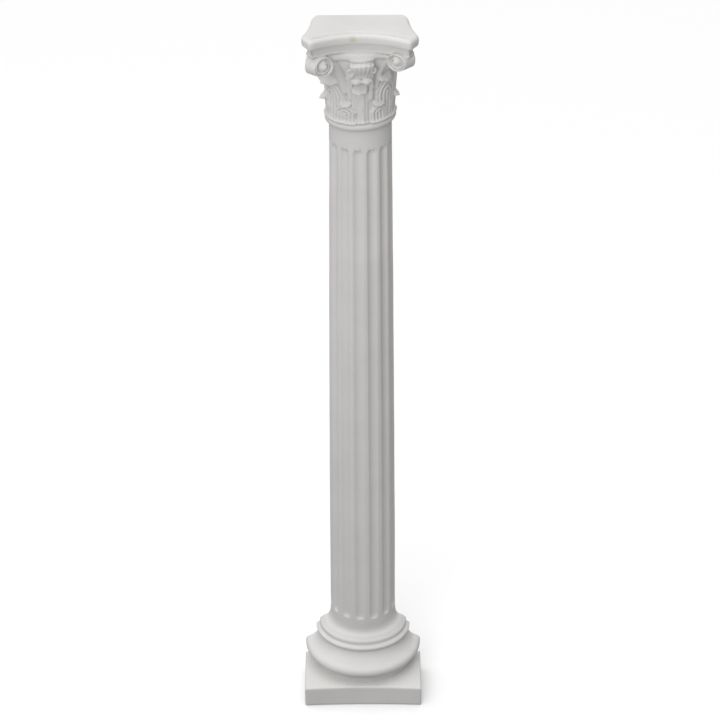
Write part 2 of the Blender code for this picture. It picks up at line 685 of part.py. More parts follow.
def main():
    for old in list(bpy.data.objects):
        bpy.data.objects.remove(old)
    parts = bpy.data.collections.new("half_column")
    cutters = bpy.data.collections.new("cutters")
    bpy.context.scene.collection.children.link(parts)
    bpy.context.scene.collection.children.link(cutters)

    column = turned("column", shaft_profile(), SHAFT_SIDES, parts)
    for vertex in column.data.vertices:
        vertex.co.y = front_flattened(vertex.co)
    for flute in range(FLUTES_ROUND):
        turn = math.radians(FLUTE_TURN_DEG) + 2.0 * math.pi * flute / FLUTES_ROUND
        if math.cos(turn) > math.cos(math.radians(LAST_FLUTE_DEG)):
            combine(column, flute_cutter(turn, cutters), "DIFFERENCE")
    leaned(column)
    combine(column, leaned(carved_bell(parts)), "UNION")
    for side in (-1.0, 1.0):
        combine(column, leaned(volute(side, parts)), "UNION")
    levels = (BELL_TOP, BAND_TOP + BAND_SUNK * ABACUS_SLAB_HEIGHT)
    band = moulded_slab("band", abacus_outline(False), levels, ABACUS_BAND_INSET, ABACUS_BAND_EDGE, parts)
    combine(column, band, "UNION")
    levels = (BAND_TOP, COLUMN_TOP)
    slab = moulded_slab("slab", abacus_outline(True), levels, 0.0, ABACUS_SLAB_EDGE, parts)
    combine(column, slab, "UNION")
    combine(column, plinth(parts), "UNION")
    combine(column, back_block(cutters), "DIFFERENCE", carefully=True)
    simplified(column)
    column.data.materials.clear()
    column.data.materials.append(plaster())
    column.data.shade_smooth()
    column.data.set_sharp_from_angle(angle=math.radians(SMOOTH_WITHIN_DEG))


main()
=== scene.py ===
"""Corinthian half column in cast plaster: its carved surface, its finish and a plain studio stage."""

import json
import math
from collections import namedtuple

import bmesh
import bpy
import numpy as np
from bpy.props import FloatProperty, FloatVectorProperty, IntProperty, PointerProperty
from mathutils import Matrix, Vector, noise

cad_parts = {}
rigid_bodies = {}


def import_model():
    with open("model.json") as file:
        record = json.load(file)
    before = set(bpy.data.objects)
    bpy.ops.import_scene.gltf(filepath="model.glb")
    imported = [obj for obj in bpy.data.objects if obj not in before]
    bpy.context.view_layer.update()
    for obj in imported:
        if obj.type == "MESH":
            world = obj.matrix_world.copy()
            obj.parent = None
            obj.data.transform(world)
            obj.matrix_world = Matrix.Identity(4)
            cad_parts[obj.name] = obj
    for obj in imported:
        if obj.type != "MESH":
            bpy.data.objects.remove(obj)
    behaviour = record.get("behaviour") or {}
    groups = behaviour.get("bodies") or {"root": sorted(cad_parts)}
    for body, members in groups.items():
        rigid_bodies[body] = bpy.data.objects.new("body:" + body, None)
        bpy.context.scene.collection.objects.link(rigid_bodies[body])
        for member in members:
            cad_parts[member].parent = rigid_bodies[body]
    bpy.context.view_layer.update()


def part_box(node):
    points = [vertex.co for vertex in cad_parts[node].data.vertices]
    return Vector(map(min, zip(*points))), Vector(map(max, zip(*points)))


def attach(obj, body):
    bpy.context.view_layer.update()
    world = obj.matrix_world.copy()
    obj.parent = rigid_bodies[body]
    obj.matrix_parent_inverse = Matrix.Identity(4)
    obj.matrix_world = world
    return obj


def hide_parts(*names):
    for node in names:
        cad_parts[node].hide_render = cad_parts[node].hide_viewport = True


bl_info = {
    "name": "Corinthian half column",
    "version": (1, 0, 0),
    "blender": (4, 5, 0),
    "location": "3D View > Sidebar > Half column",
    "description": "Builds the carved surface of a cast plaster half column around its solid",
    "category": "Object",
}

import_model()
LOW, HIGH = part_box("column")


def length(description, default):
    """A size in metres."""
    return FloatProperty(description=description, default=default, unit="LENGTH", precision=5)


def turn(description, default):
    """An angle in degrees; directions count from the front, positive to the right."""
    return FloatProperty(description=description, default=default)


def share(description, default):
    """A plain number, such as a share of a size."""
    return FloatProperty(description=description, default=default)


def spot(description, default):
    """A place in metres."""
    return FloatVectorProperty(description=description, default=default, subtype="XYZ", size=3)


def count(description, default):
    """A whole number of steps or copies."""
    return IntProperty(description=description, default=default, min=1)


def colour(description, default):
    """A linear colour."""
    return FloatVectorProperty(description=description, default=default, subtype="COLOR", size=3)


class BaseSizes(bpy.types.PropertyGroup):
    """Plinth and Attic base."""

    drum_rise: length("How far the drum ends under the lower roll", 0.0010)
    notch: share("Share of the hollow's height over its deepest point", 0.1)
    hollow_pull: length("How far out the hollow's curve is pulled", 0.0010)
    plinth_height: length("Height of the square block", 0.0236)
    plinth_edge: length("Rounding of the block's edges", 0.0020)
    plinth_hollow: length("How far the block's front bends in", 0.0016)
    plinth_droop: length("How much lower the block's upper corners are", 0.0012)
    axis_to_back: length("How far the round mouldings' axis stands off the flat back", 0.0010)
    foot_radius: length("Radius of the drum on the plinth", 0.0525)
    foot_height: length("Height of the drum on the plinth", 0.0090)
    lower_torus_radius: length("Radius at the lower roll's nose", 0.0603)
    lower_torus_height: length("Height of the lower roll", 0.0125)
    scotia_radius: length("Radius at the hollow's deepest", 0.0463)
    scotia_height: length("Height of the hollow", 0.0128)
    ring_radius: length("Radius of the thin roll over the hollow", 0.0492)
    ring_height: length("Height of the thin roll", 0.0046)
    upper_torus_radius: length("Radius at the upper roll's nose", 0.0455)
    upper_torus_height: length("Height of the upper roll", 0.0072)
    flare_radius: length("Radius where the shaft's foot spreads", 0.0405)
    flare_height: length("Height over which the shaft's foot spreads", 0.0158)
    flare_lip: length("Roll at the spread foot's rim", 0.0011)
    flattening: share("How much the upper mouldings are flattened in front", 0.07)
    softness: length("Length over which the mouldings' corners are rounded", 0.0034)


class ShaftSizes(bpy.types.PropertyGroup):
    """Shaft, flutes and the astragal over them."""

    height: length("Height of the shaft between its flare and its neck", 0.5605)
    foot_radius: length("Radius over the flare", 0.0336)
    neck_radius: length("Radius under the astragal", 0.0293)
    entasis: share("Power of the taper's curve", 1.5)
    flutes: count("Flutes round the whole shaft", 14)
    flute_turn: turn("Direction of the flute nearest the front", -5.0)
    flute_width: length("Width of a flute at the surface", 0.0100)
    flute_depth: length("Depth in the middle of a flute", 0.0026)
    flute_end: share("Length of a flute's round end as a share of its width", 0.6)
    flute_edge: share("Softness of a flute's edge as a share of its depth", 0.09)
    flute_foot_gap: length("Plain shaft under the flutes", 0.0050)
    flute_neck_gap: length("Plain shaft over the flutes", 0.0165)
    astragal_radius: length("Radius at the astragal's nose", 0.0334)
    astragal_height: length("Height of the astragal", 0.0085)
    astragal_fillet: length("Plain neck under the astragal", 0.0035)


class BellSizes(bpy.types.PropertyGroup):
    """The bare bell that carries the carving."""

    height: length("Height from the astragal to the abacus", 0.0750)
    neck_radius: length("Radius over the astragal", 0.0300)
    waist_radius: length("Radius at the upper leaves' feet", 0.0312)
    shoulder_radius: length("Radius under the lip", 0.0398)
    lip_radius: length("Radius of the lip under the abacus", 0.0440)
    lip_height: length("Height of the lip", 0.0058)
    waist_top: share("Share of the height where the waist ends", 0.6)
    shoulder_foot: share("Share of the height where the shoulder starts", 0.5)
    shoulder_top: share("Share of the height where the shoulder ends", 0.9)
    lip_nose: share("How far under the top the lip's nose lies, as a share of the lip", 0.6)
    lip_rounding: share("Half the height of the lip's rounding, as a share of the lip", 0.75)
    seam_fill: length("Plaster left in the seam over the astragal", 0.0019)
    seam_height: length("Height of the plaster left in the seam", 0.0035)
    lean: turn("How far the carving leans in its soft mould, its left side low", 2.3)
    lean_end: share("Share of the abacus's band where the lean has ended", 0.2)


class LeafSizes(bpy.types.PropertyGroup):
    """Acanthus leaves, the palmette and the small scrolls."""

    thickness: length("How far a leaf's body stands off the bell", 0.0025)
    groove: length("Depth of the grooves between a leaf's ribs", 0.0014)
    edge: length("Breadth over which a leaf's edge falls to the bell", 0.0013)
    belly: length("How much more a leaf's body swells towards its top", 0.0009)
    scallop: share("How much a leaf's outline is scalloped", 0.035)
    wander: share("How much a leaf's ribs wander", 0.06)
    tip_sag: share("How much a tip's edge rises to its sides, as a share of its reach", 0.22)
    tip_lobe: length("Depth of the lobes in a tip's edge", 0.0004)
    tip_ridge: share("How much the lobes stand out on a tip", 0.06)
    middle_ridge: length("Where the middle leaf's ridge lies, to the right", 0.0034)
    streak: length("Height of the fine streaks on the middle leaf", 0.00022)
    slit: length("Depth of the narrow slits between the leaves", 0.0045)
    stalk: length("How far the stalks beside the middle leaf stand out", 0.0026)
    palmette_foot: length("Where the palmette starts over the astragal", 0.0520)
    palmette_height: length("Height of the palmette", 0.0165)
    palmette_half_width: length("Half the width over the palmette's lobes", 0.0118)
    palmette_lift: length("How far the palmette stands off the bell", 0.0088)
    palmette_below: length("How far under its foot the palmette's lobes would meet", 0.0280)
    palmette_lobes: count("Lobes of the palmette", 6)
    palmette_slit: share("Depth of the slits between the palmette's lobes", 0.24)
    palmette_start: length("Where the palmette starts to rise, from its foot", -0.0002)
    palmette_rise: length("Where the palmette has risen, from its foot", 0.0022)
    palmette_crest: length("Height over which the palmette's top is rounded", 0.0042)
    core: length("Swelling behind the palmette and the scrolls", 0.0060)
    core_half_width: length("Half the width of that swelling", 0.0115)
    palmette_turn: turn("Direction of the palmette from the front", 2.3)


class VoluteSizes(bpy.types.PropertyGroup):
    """Corner scrolls."""

    turn: turn("Direction of a volute from the front", 42.0)
    radius: length("Radius of the scroll", 0.0094)
    reach: length("From the column's axis to the scroll's outer side", 0.0676)
    drop: length("From the abacus down to the scroll's eye", 0.0076)
    skew: length("How much higher the right scroll sits, and the left lower", 0.0012)
    rim_breadth: length("Breadth of the scroll's outer side", 0.0130)
    spread: share("How much broader the scroll gets towards the bell", 0.66)
    turns: share("Turns of the spiral", 1.6)
    groove: length("Depth of the spiral's channel", 0.0036)
    eye_radius: length("Radius of the knob in the middle", 0.0029)
    eye_lift: length("How far the knob stands out", 0.0018)
    rim_edge: length("Rounding of the scroll's rim", 0.0008)
    web_reach: length("How far the swelling under a scroll stands out", 0.0170)
    web_front: length("Half width of that swelling towards the front", 0.0060)
    web_side: length("Half width of that swelling towards the side", 0.0085)
    web_left: share("Share of the bell's height where the left swelling starts", 0.50)
    web_right: share("Share of the bell's height where the right swelling starts", 0.62)
    web_top: share("Share of the bell's height where the swellings end", 0.93)
    web_power: share("Power of the swellings' curve", 1.4)


class AbacusSizes(bpy.types.PropertyGroup):
    """The slab on top and the moulded band under it."""

    horn: length("Half the width between the front corners", 0.0450)
    front: length("From the column's axis to the front corners", 0.0592)
    side: length("From the column's axis to the side corners", 0.0537)
    cut: length("How far a cut corner runs back", 0.0140)
    front_hollow: length("How far the front bends in", 0.0155)
    side_hollow: length("How far the sides bend in", 0.0092)
    corner: length("Length of outline over which a corner is rounded", 0.0120)
    back_round: length("Rounding of the corners behind", 0.0070)
    run_on: length("How far the outline runs on behind the flat back", 0.0015)
    groove_inset: length("How far the groove on top lies behind the edge", 0.0066)
    groove_half: length("Half the width of the groove on top", 0.0016)
    groove_depth: length("Depth of the groove on top", 0.0009)
    band_height: length("Height of the moulded band", 0.0095)
    band_inset: length("How far the band lies behind the slab", 0.0042)
    slab_edge: length("Rounding of the slab's upper edge", 0.0034)


class PlasterLook(bpy.types.PropertyGroup):
    """The plaster's colour and grain, and the colour of the painted shade in the capital's creases."""

    light: colour("Colour of clean plaster", (0.700, 0.690, 0.680))
    dull: colour("Colour of handled, dusty plaster", (0.655, 0.640, 0.625))
    # Painted shade: this colour darkens the capital's creases and slits, standing in for the shade that falls
    # in them.
    crease_shade: colour("Colour of the dust in the creases", (0.400, 0.375, 0.345))
    stain: colour("Colour of the faint stain on the abacus", (0.560, 0.480, 0.320))
    stain_place: spot("Middle of the stain", (-0.0065, -0.0135, 0.7480))
    stain_share: share("How much the stain covers in its middle", 0.55)
    clouds: share("Dusty patches in one metre", 16.0)
    stain_reach: length("How far the stain spreads", 0.0048)
    grain: share("Pores in one metre", 900.0)
    grain_depth: length("Depth of the pores", 0.00010)
    roughness: share("Roughness of the matt surface", 0.88)


class CastSizes(bpy.types.PropertyGroup):
    """How finely the cast surface is worked."""

    voxel: length("Grain at which the carving is fused into one surface", 0.00042)
    softening: count("Rounds of smoothing that a cast's soft edges take", 3)
    triangles: count("Triangles kept on the capital", 118000)
    ripple: length("Height of the hand-worn unevenness", 0.00022)
    broad_waves: share("Broad waves of the unevenness in one metre", 22.0)
    fine_waves: share("Fine waves of the unevenness in one metre", 160.0)
    fine_share: share("Height of the fine waves against the broad ones", 0.35)
    ripple_sink: share("How far the unevenness sinks in, as a share of it", 0.6)
    flat_foot: length("Height at the foot that is left even", 0.0005)
    flat_top: length("Height under the top that is left even", 0.0004)
    sharp_over: turn("Angle between faces over which an edge is drawn sharp", 50.0)


class StageSizes(bpy.types.PropertyGroup):
    """Camera, floor and lights."""

    camera_back: length("From the column's axis back to the camera", 2.113)
    camera_height: length("Height of the camera over the floor", 1.6848)
    camera_pitch: turn("How far the camera looks down", 31.6)
    camera_roll: turn("How far the camera is turned about its view", 0.29)
    camera_lens: share("Focal length in millimetres", 126.15)
    camera_shift: share("Sideways shift of the frame as a share of its width", -0.00222)
    floor_size: length("Width of the floor", 12.0)
    floor_colour: colour("Colour of the floor", (0.97, 0.97, 0.97))
    world_light: share("Strength of the even light all round", 0.35)
    sky_power: share("Strength of the wide soft light from above", 2.10)
    sky_angle: turn("How wide the light from above is", 90.0)
    sky_place: spot("Where the light from above comes from", (-0.35, 0.0, 2.5))
    sky_aim: spot("What the light from above points at", (0.0, 0.0, 0.4))
    fill_power: share("Watts of the light in front on the left", 4.9)
    fill_size: length("Width of the light in front", 0.7)
    fill_place: spot("Where the light in front stands", (-0.32, -0.95, 1.0))
    fill_aim: spot("What the light in front points at", (0.0, 0.0, 0.85))


class HalfColumn(bpy.types.PropertyGroup):
    """All sizes and colours of the half column."""

    base: PointerProperty(type=BaseSizes)
    shaft: PointerProperty(type=ShaftSizes)
    bell: PointerProperty(type=BellSizes)
    leaves: PointerProperty(type=LeafSizes)
    volutes: PointerProperty(type=VoluteSizes)
    abacus: PointerProperty(type=AbacusSizes)
    plaster: PointerProperty(type=PlasterLook)
    cast: PointerProperty(type=CastSizes)
    stage: PointerProperty(type=StageSizes)


class Levels:
    """Heights where one moulding ends and the next begins, from the floor up."""

    def __init__(self, column):
        base, shaft = column.base, column.shaft
        self.axis_y = HIGH.y - base.axis_to_back
        self.foot_top = base.plinth_height + base.foot_height
        self.lower_torus_top = self.foot_top + base.lower_torus_height
        self.scotia_top = self.lower_torus_top + base.scotia_height
        self.ring_top = self.scotia_top + base.ring_height
        self.upper_torus_top = self.ring_top + base.upper_torus_height
        self.shaft_foot = self.upper_torus_top + base.flare_height
        self.shaft_neck = self.shaft_foot + shaft.height
        self.astragal_top = self.shaft_neck + shaft.astragal_fillet + shaft.astragal_height
        self.bell_top = self.astragal_top + column.bell.height
        self.band_top = self.bell_top + column.abacus.band_height


def ease(low, high, value):
    """Rises smoothly from 0 at low to 1 at high."""
    part = min(max((value - low) / (high - low), 0.0), 1.0)
    return part * part * (3.0 - 2.0 * part)


def dome(distance, reach):
    """A round hump: 1 in the middle, 0 at the reach and beyond."""
    return math.sqrt(max(0.0, 1.0 - (distance / reach) ** 2))


def shaft_radius(column, levels, z):
    """The shaft's radius at a height, with its entasis."""
    shaft = column.shaft
    part = min(max((z - levels.shaft_foot) / shaft.height, 0.0), 1.0)
    return shaft.foot_radius - (shaft.foot_radius - shaft.neck_radius) * part**shaft.entasis


def bell_radius(bell, rise):
    """The bare bell's radius at a height above the astragal, up to its lip."""
    part = rise / bell.height
    waist = (bell.waist_radius - bell.neck_radius) * ease(0.0, bell.waist_top, part)
    swell = ease(bell.shoulder_foot, bell.shoulder_top, part)
    shoulder = (bell.shoulder_radius - bell.waist_radius) * swell
    off = rise - bell.height + bell.lip_nose * bell.lip_height
    lip = (bell.lip_radius - bell.shoulder_radius) * dome(off, bell.lip_rounding * bell.lip_height)
    return bell.neck_radius + waist + shoulder + lip


def on_column(levels, turn_deg, radius, z):
    """A point at a direction from the front, a distance from the axis and a height."""
    angle = math.radians(turn_deg)
    return Vector((radius * math.sin(angle), levels.axis_y - radius * math.cos(angle), z))


def facing(levels, turn_deg, radius, z, tilt_deg=0.0, roll_deg=0.0):
    """Places a shape whose -Y looks out: tilt_deg leans its top out, roll_deg turns it clockwise."""
    place = Matrix.Translation(on_column(levels, turn_deg, radius, z))
    place @= Matrix.Rotation(math.radians(turn_deg), 4, "Z")
    place @= Matrix.Rotation(math.radians(tilt_deg), 4, "X")
    return place @ Matrix.Rotation(math.radians(roll_deg), 4, "Y")


def finished(shape, name):
    """Turns a bmesh into an object at the origin."""
    bmesh.ops.recalc_face_normals(shape, faces=shape.faces)
    mesh = bpy.data.meshes.new(name)
    shape.to_mesh(mesh)
    shape.free()
    piece = bpy.data.objects.new(name, mesh)
    bpy.context.scene.collection.objects.link(piece)
    return piece


def evaluated(piece):
    """The mesh that a piece's modifiers give, in place of its own."""
    bpy.context.view_layer.update()
    graph = bpy.context.evaluated_depsgraph_get()
    mesh = bpy.data.meshes.new_from_object(piece.evaluated_get(graph))
    piece.modifiers.clear()
    old = piece.data
    piece.data = mesh
    bpy.data.meshes.remove(old)


def arc(centre_r, centre_z, half_r, half_z, start_deg, end_deg, steps=14):
    """Points of an elliptic arc in the profile plane."""
    points = []
    for step in range(steps + 1):
        angle = math.radians(start_deg + (end_deg - start_deg) * step / steps)
        points.append((centre_r + half_r * math.cos(angle), centre_z + half_z * math.sin(angle)))
    return points


# A round moulding's rounding is a little lower than a circle and ends just short of its underside
ROLL_LOWNESS = 0.96
ROLL_END_DEG = -88.0


def roll(nose_radius, bottom, top, start_deg, end_deg=ROLL_END_DEG):
    """A half-round moulding between two levels, from its top round to its underside."""
    half = 0.5 * (top - bottom)
    return arc(nose_radius - half, bottom + half, half, ROLL_LOWNESS * half, start_deg, end_deg)


def sweep(start, bend, end, steps=12):
    """A smooth hollow between two points, pulled towards a third."""
    points = []
    for step in range(1, steps + 1):
        part = step / (steps + 1)
        near, pull, far = (1.0 - part) ** 2, 2.0 * part * (1.0 - part), part**2
        points.append(tuple(near * a + pull * b + far * c for a, b, c in zip(start, bend, end)))
    return points


def shaft_heights(column, levels):
    """Heights of the shaft's rings from the neck down, close together where the flutes end."""
    shaft = column.shaft
    end = 2.0 * shaft.flute_end * shaft.flute_width
    low = levels.shaft_foot + shaft.flute_foot_gap
    high = levels.shaft_neck - shaft.flute_neck_gap
    spans = ((levels.shaft_neck, high, 4), (high, high - end, 16), (high - end, low + end, 40))
    spans += ((low + end, low, 16), (low, levels.shaft_foot, 2))
    heights = []
    for top, bottom, steps in spans:
        heights += [top + (bottom - top) * step / steps for step in range(steps)]
    return heights[1:]


def column_profile(column, levels):
    """The outer side of base, shaft and astragal, from the top down, closed on the axis."""
    base, shaft = column.base, column.shaft
    top = levels.astragal_top
    inside = top + 0.5 * shaft.astragal_height
    points = [(0.0, inside), (0.5 * shaft.neck_radius, inside), (0.9 * column.bell.neck_radius, inside)]
    points += roll(shaft.astragal_radius, top - shaft.astragal_height, top, 100.0)
    points.append((shaft.neck_radius, levels.shaft_neck))
    points += [(shaft_radius(column, levels, z), z) for z in shaft_heights(column, levels)]
    flare_foot = (base.flare_radius, levels.upper_torus_top + 2.0 * base.flare_lip)
    start = (shaft.foot_radius, levels.shaft_foot)
    points += sweep(start, (shaft.foot_radius, flare_foot[1]), flare_foot)
    points += [flare_foot, (base.flare_radius + base.flare_lip, levels.upper_torus_top + base.flare_lip)]
    points += roll(base.upper_torus_radius, levels.ring_top, levels.upper_torus_top, 80.0, -40.0)
    points += roll(base.ring_radius, levels.scotia_top, levels.ring_top, 85.0)
    torus = roll(base.lower_torus_radius, levels.foot_top, levels.lower_torus_top, 65.0)
    notch = (base.scotia_radius, levels.scotia_top - base.notch * base.scotia_height)
    points.append(notch)
    pull_z = levels.lower_torus_top + 2.0 * base.notch * base.scotia_height
    pull = (base.scotia_radius + base.hollow_pull, pull_z)
    points += sweep(notch, pull, torus[0])
    points += torus
    points = softened(points, levels.foot_top, levels.shaft_foot, base.softness)
    inside_plinth = 0.6 * base.plinth_height
    points += [(base.foot_radius, levels.foot_top - base.drum_rise), (base.foot_radius, inside_plinth)]
    points.append((0.0, inside_plinth))
    return points


def softened(points, bottom, top, window):
    """Steps a profile evenly between two heights and averages it, which rounds its corners."""
    first = next(index for index, point in enumerate(points) if point[1] < top)
    last = max(index for index, point in enumerate(points) if point[1] > bottom)
    part = np.array(points[first : last + 1])
    runs = np.concatenate(([0.0], np.cumsum(np.hypot(*np.diff(part, axis=0).T))))
    step = 0.25 * window
    marks = np.linspace(0.0, runs[-1], round(runs[-1] / step))
    even = np.stack([np.interp(marks, runs, part[:, axis]) for axis in (0, 1)], axis=1)
    weights = np.bartlett(7)[1:-1]
    weights = weights / weights.sum()
    padded = np.concatenate((even[:1], even[:1], even, even[-1:], even[-1:]))
    soft = np.stack([np.convolve(padded[:, axis], weights, mode="valid") for axis in (0, 1)], axis=1)
    soft[[0, -1]] = even[[0, -1]]
    return points[:first] + [tuple(point) for point in soft] + points[last + 1 :]


def spun(profile, levels, steps):
    """A closed shape turned about the column's axis."""
    shape = bmesh.new()
    verts = [shape.verts.new((radius, levels.axis_y, z)) for radius, z in profile]
    edges = [shape.edges.new(pair) for pair in zip(verts, verts[1:])]
    bmesh.ops.spin(
        shape,
        geom=verts + edges,
        cent=(0.0, levels.axis_y, 0.0),
        axis=(0.0, 0.0, 1.0),
        angle=2.0 * math.pi,
        steps=steps,
        use_merge=True,
    )
    bmesh.ops.remove_doubles(shape, verts=shape.verts, dist=0.000002)
    bmesh.ops.recalc_face_normals(shape, faces=shape.faces)
    return shape


def flute_depth(column, levels, angle, z):
    """How deep the flutes go at a direction and a height."""
    shaft = column.shaft
    pitch = 2.0 * math.pi / shaft.flutes
    offset = angle - math.radians(shaft.flute_turn)
    across = shaft_radius(column, levels, z) * (offset - pitch * round(offset / pitch))
    low = levels.shaft_foot + shaft.flute_foot_gap
    high = levels.shaft_neck - shaft.flute_neck_gap
    end = shaft.flute_end * shaft.flute_width
    part = min(max(min(z - low, high - z) / end, -0.5), 1.0)
    middle = shaft.flute_depth * (dome(1.0 - part, 1.0) if part > 0.0 else 2.0 * part)
    section = middle - shaft.flute_depth * (2.0 * across / shaft.flute_width) ** 2
    soft = shaft.flute_edge * shaft.flute_depth
    return 0.5 * (section + math.sqrt(section * section + soft * soft))


def leaned(column, levels, place):
    """The height of a point once the carving's lean is added."""
    shaft, bell = column.shaft, column.bell
    low = ease(levels.shaft_neck - shaft.flute_neck_gap, levels.shaft_neck, place.z)
    lip = levels.bell_top - bell.lip_height
    high = 1.0 - ease(lip, levels.bell_top + bell.lean_end * column.abacus.band_height, place.z)
    return place.z + place.x * math.tan(math.radians(bell.lean)) * min(low, high)


# Acanthus leaves.  Turn and tip turn are degrees from the front, the other values metres:
# half the body's width, the top of its arch, where it is widest, its nested ribs,
# the tip's lower edge over the astragal, half the tip's width, its reach and its slope's height
Leaf = namedtuple("Leaf", "turn half_width height widest ribs tip_turn tip_rise tip_half reach slope")
LEAVES = (
    Leaf(-112.0, 0.0105, 0.0200, 0.0090, 3, -112.0, 0.0185, 0.0048, 0.0050, 0.0050),
    Leaf(-74.0, 0.0105, 0.0200, 0.0090, 3, -77.0, 0.0175, 0.0042, 0.0092, 0.0080),
    Leaf(-27.0, 0.0115, 0.0195, 0.0090, 3, -26.0, 0.0180, 0.0062, 0.0062, 0.0052),
    Leaf(34.0, 0.0096, 0.0185, 0.0085, 3, 33.0, 0.0172, 0.0060, 0.0060, 0.0052),
    Leaf(71.0, 0.0105, 0.0195, 0.0090, 3, 75.0, 0.0180, 0.0042, 0.0080, 0.0075),
    Leaf(112.0, 0.0105, 0.0200, 0.0090, 3, 112.0, 0.0185, 0.0048, 0.0046, 0.0050),
    Leaf(-95.0, 0.0150, 0.0420, 0.0260, 4, -95.0, 0.0395, 0.0085, 0.0105, 0.0090),
    Leaf(-56.0, 0.0168, 0.0425, 0.0250, 4, -56.0, 0.0392, 0.0125, 0.0122, 0.0095),
    Leaf(50.0, 0.0126, 0.0430, 0.0270, 3, 40.0, 0.0425, 0.0078, 0.0088, 0.0062),
    Leaf(92.0, 0.0150, 0.0420, 0.0260, 4, 92.0, 0.0395, 0.0085, 0.0038, 0.0070),
)
MIDDLE_LEAF = Leaf(-0.5, 0.0078, 0.0400, 0.0250, 1, -1.0, 0.0335, 0.0076, 0.0092, 0.0080)
# Stalks and slits: direction in degrees, lower and upper end over the astragal, half the width
STALKS = ((-17.8, 0.020, 0.050, 0.0026), (18.5, 0.020, 0.050, 0.0028))
SLITS = (
    (-23.6, 0.0245, 0.0370, 0.0009),
    (-24.2, 0.0400, 0.0530, 0.0010),
    (24.8, 0.0240, 0.0370, 0.0009),
    (26.0, 0.0440, 0.0600, 0.0016),
    (-6.4, 0.0030, 0.0105, 0.0008),
)
# Heights over the astragal between which the swelling behind the palmette rises and falls
CORE_RISE = (0.036, 0.046)
CORE_FALL = (0.064, 0.072)
# Curls beside the palmette: direction in degrees, height, radius, distance from the axis
CURLS = ((-11.8, 0.0560, 0.0027, 0.0420), (17.4, 0.0568, 0.0017, 0.0412))
CURL_GIRTH = 0.0017
# The pair of small scrolls: middle and half spread in degrees, distance from the axis, height
PAIR_TURN, PAIR_SPREAD, PAIR_OUT, PAIR_RISE = 2.0, 7.0, 0.0375, 0.0468
PAIR_SIZE = (0.0056, 0.0062, 0.0043, 1.0)
PAIR_GIRTH = 0.0013
# Stems: direction in degrees, distance from the axis, height over the astragal
STEM = (
    (28.0, 0.0300, 0.034),
    (30.5, 0.0325, 0.046),
    (32.5, 0.0372, 0.0565),
    (35.0, 0.0436, 0.0645),
    (38.0, 0.0515, 0.0690),
)
STEM_GIRTHS = (0.0046, 0.0066)
HELIX = ((16.0, 0.0345, 0.038), (15.2, 0.0362, 0.047), (14.6, 0.0385, 0.0535))
HELIX_GIRTHS = (0.0021, 0.0017)
# How finely outlines and turned shapes are stepped
VOLUTE_SIDES, VOLUTE_RINGS = 72, 20
FRONT_STEPS, CUT_STEPS, FLANK_STEPS, ROUND_STEPS, BACK_STEPS = 60, 12, 120, 20, 50
OUTLINE_STEPS = 420
BELL_ROWS, BELL_STEPS = 165, 380


def eased(low, high, values):
    """Rises smoothly from 0 at low to 1 at high, for whole arrays."""
    part = np.clip((values - low) / (high - low), 0.0, 1.0)
    return part * part * (3.0 - 2.0 * part)


def domed(values):
    """A round hump over arrays: 1 at 0, 0 at 1 and beyond."""
    return np.sqrt(np.clip(1.0 - values * values, 0.0, 1.0))


def leaf_body(leaves, leaf, across, rise):
    """A leaf's body: an arch with ribs nested inside its outline."""
    above = np.clip((rise - leaf.widest) / (leaf.height - leaf.widest), 0.0, None)
    nest = np.hypot(across / leaf.half_width, above)
    scallop = 1.0 + leaves.scallop * np.sin(9.0 * np.arctan2(above, np.abs(across) / leaf.half_width))
    blade = eased(0.0, leaves.edge, leaf.half_width * (scallop - nest))
    rib = 0.5 + 0.5 * np.cos(2.0 * math.pi * (leaf.ribs * nest + leaves.wander * np.sin(rise * 420.0)))
    foot = eased(0.0, 0.004, rise)
    belly = leaves.belly * eased(0.3 * leaf.height, leaf.height, rise)
    return blade * (leaves.thickness + belly - leaves.groove * (1.0 - rib**0.8) * foot)


def leaf_tip(leaves, leaf, across, rise):
    """A leaf's tip: a lobed visor that curls out over the body and slopes back up to the bell."""
    beside = across / leaf.tip_half
    lobes = np.abs(np.cos(1.5 * math.pi * beside))
    edge = leaf.tip_rise + leaves.tip_sag * leaf.reach * beside**2 - leaves.tip_lobe * lobes
    under = eased(edge - leaves.tip_sag * leaf.reach - 2.0 * leaves.tip_lobe, edge, rise)
    back = np.clip((rise - edge) / leaf.slope, 0.0, 1.0)
    over = 1.0 - back**1.15
    ridge = 1.0 - leaves.tip_ridge * (1.0 - np.cos(3.0 * math.pi * beside))
    return leaf.reach * domed(beside) ** 0.8 * under * over * ridge


def middle_body(leaves, leaf, across, rise):
    """The middle leaf's body: two hollow panels with a ridge a little to the right."""
    off = across - leaves.middle_ridge
    panel = np.where(off < 0.0, leaf.half_width + leaves.middle_ridge, leaf.half_width - leaves.middle_ridge)
    hollow = np.sin(math.pi * np.clip(np.abs(off) / panel, 0.0, 1.0)) ** 0.8
    blade = eased(0.0, leaves.edge, leaf.half_width - np.abs(across))
    blade = blade * (1.0 - eased(0.9 * leaf.height, leaf.height, rise))
    streaks = leaves.streak * np.cos(across * 5200.0)
    return blade * (0.85 * leaves.thickness - 0.9 * leaves.groove * hollow + streaks)


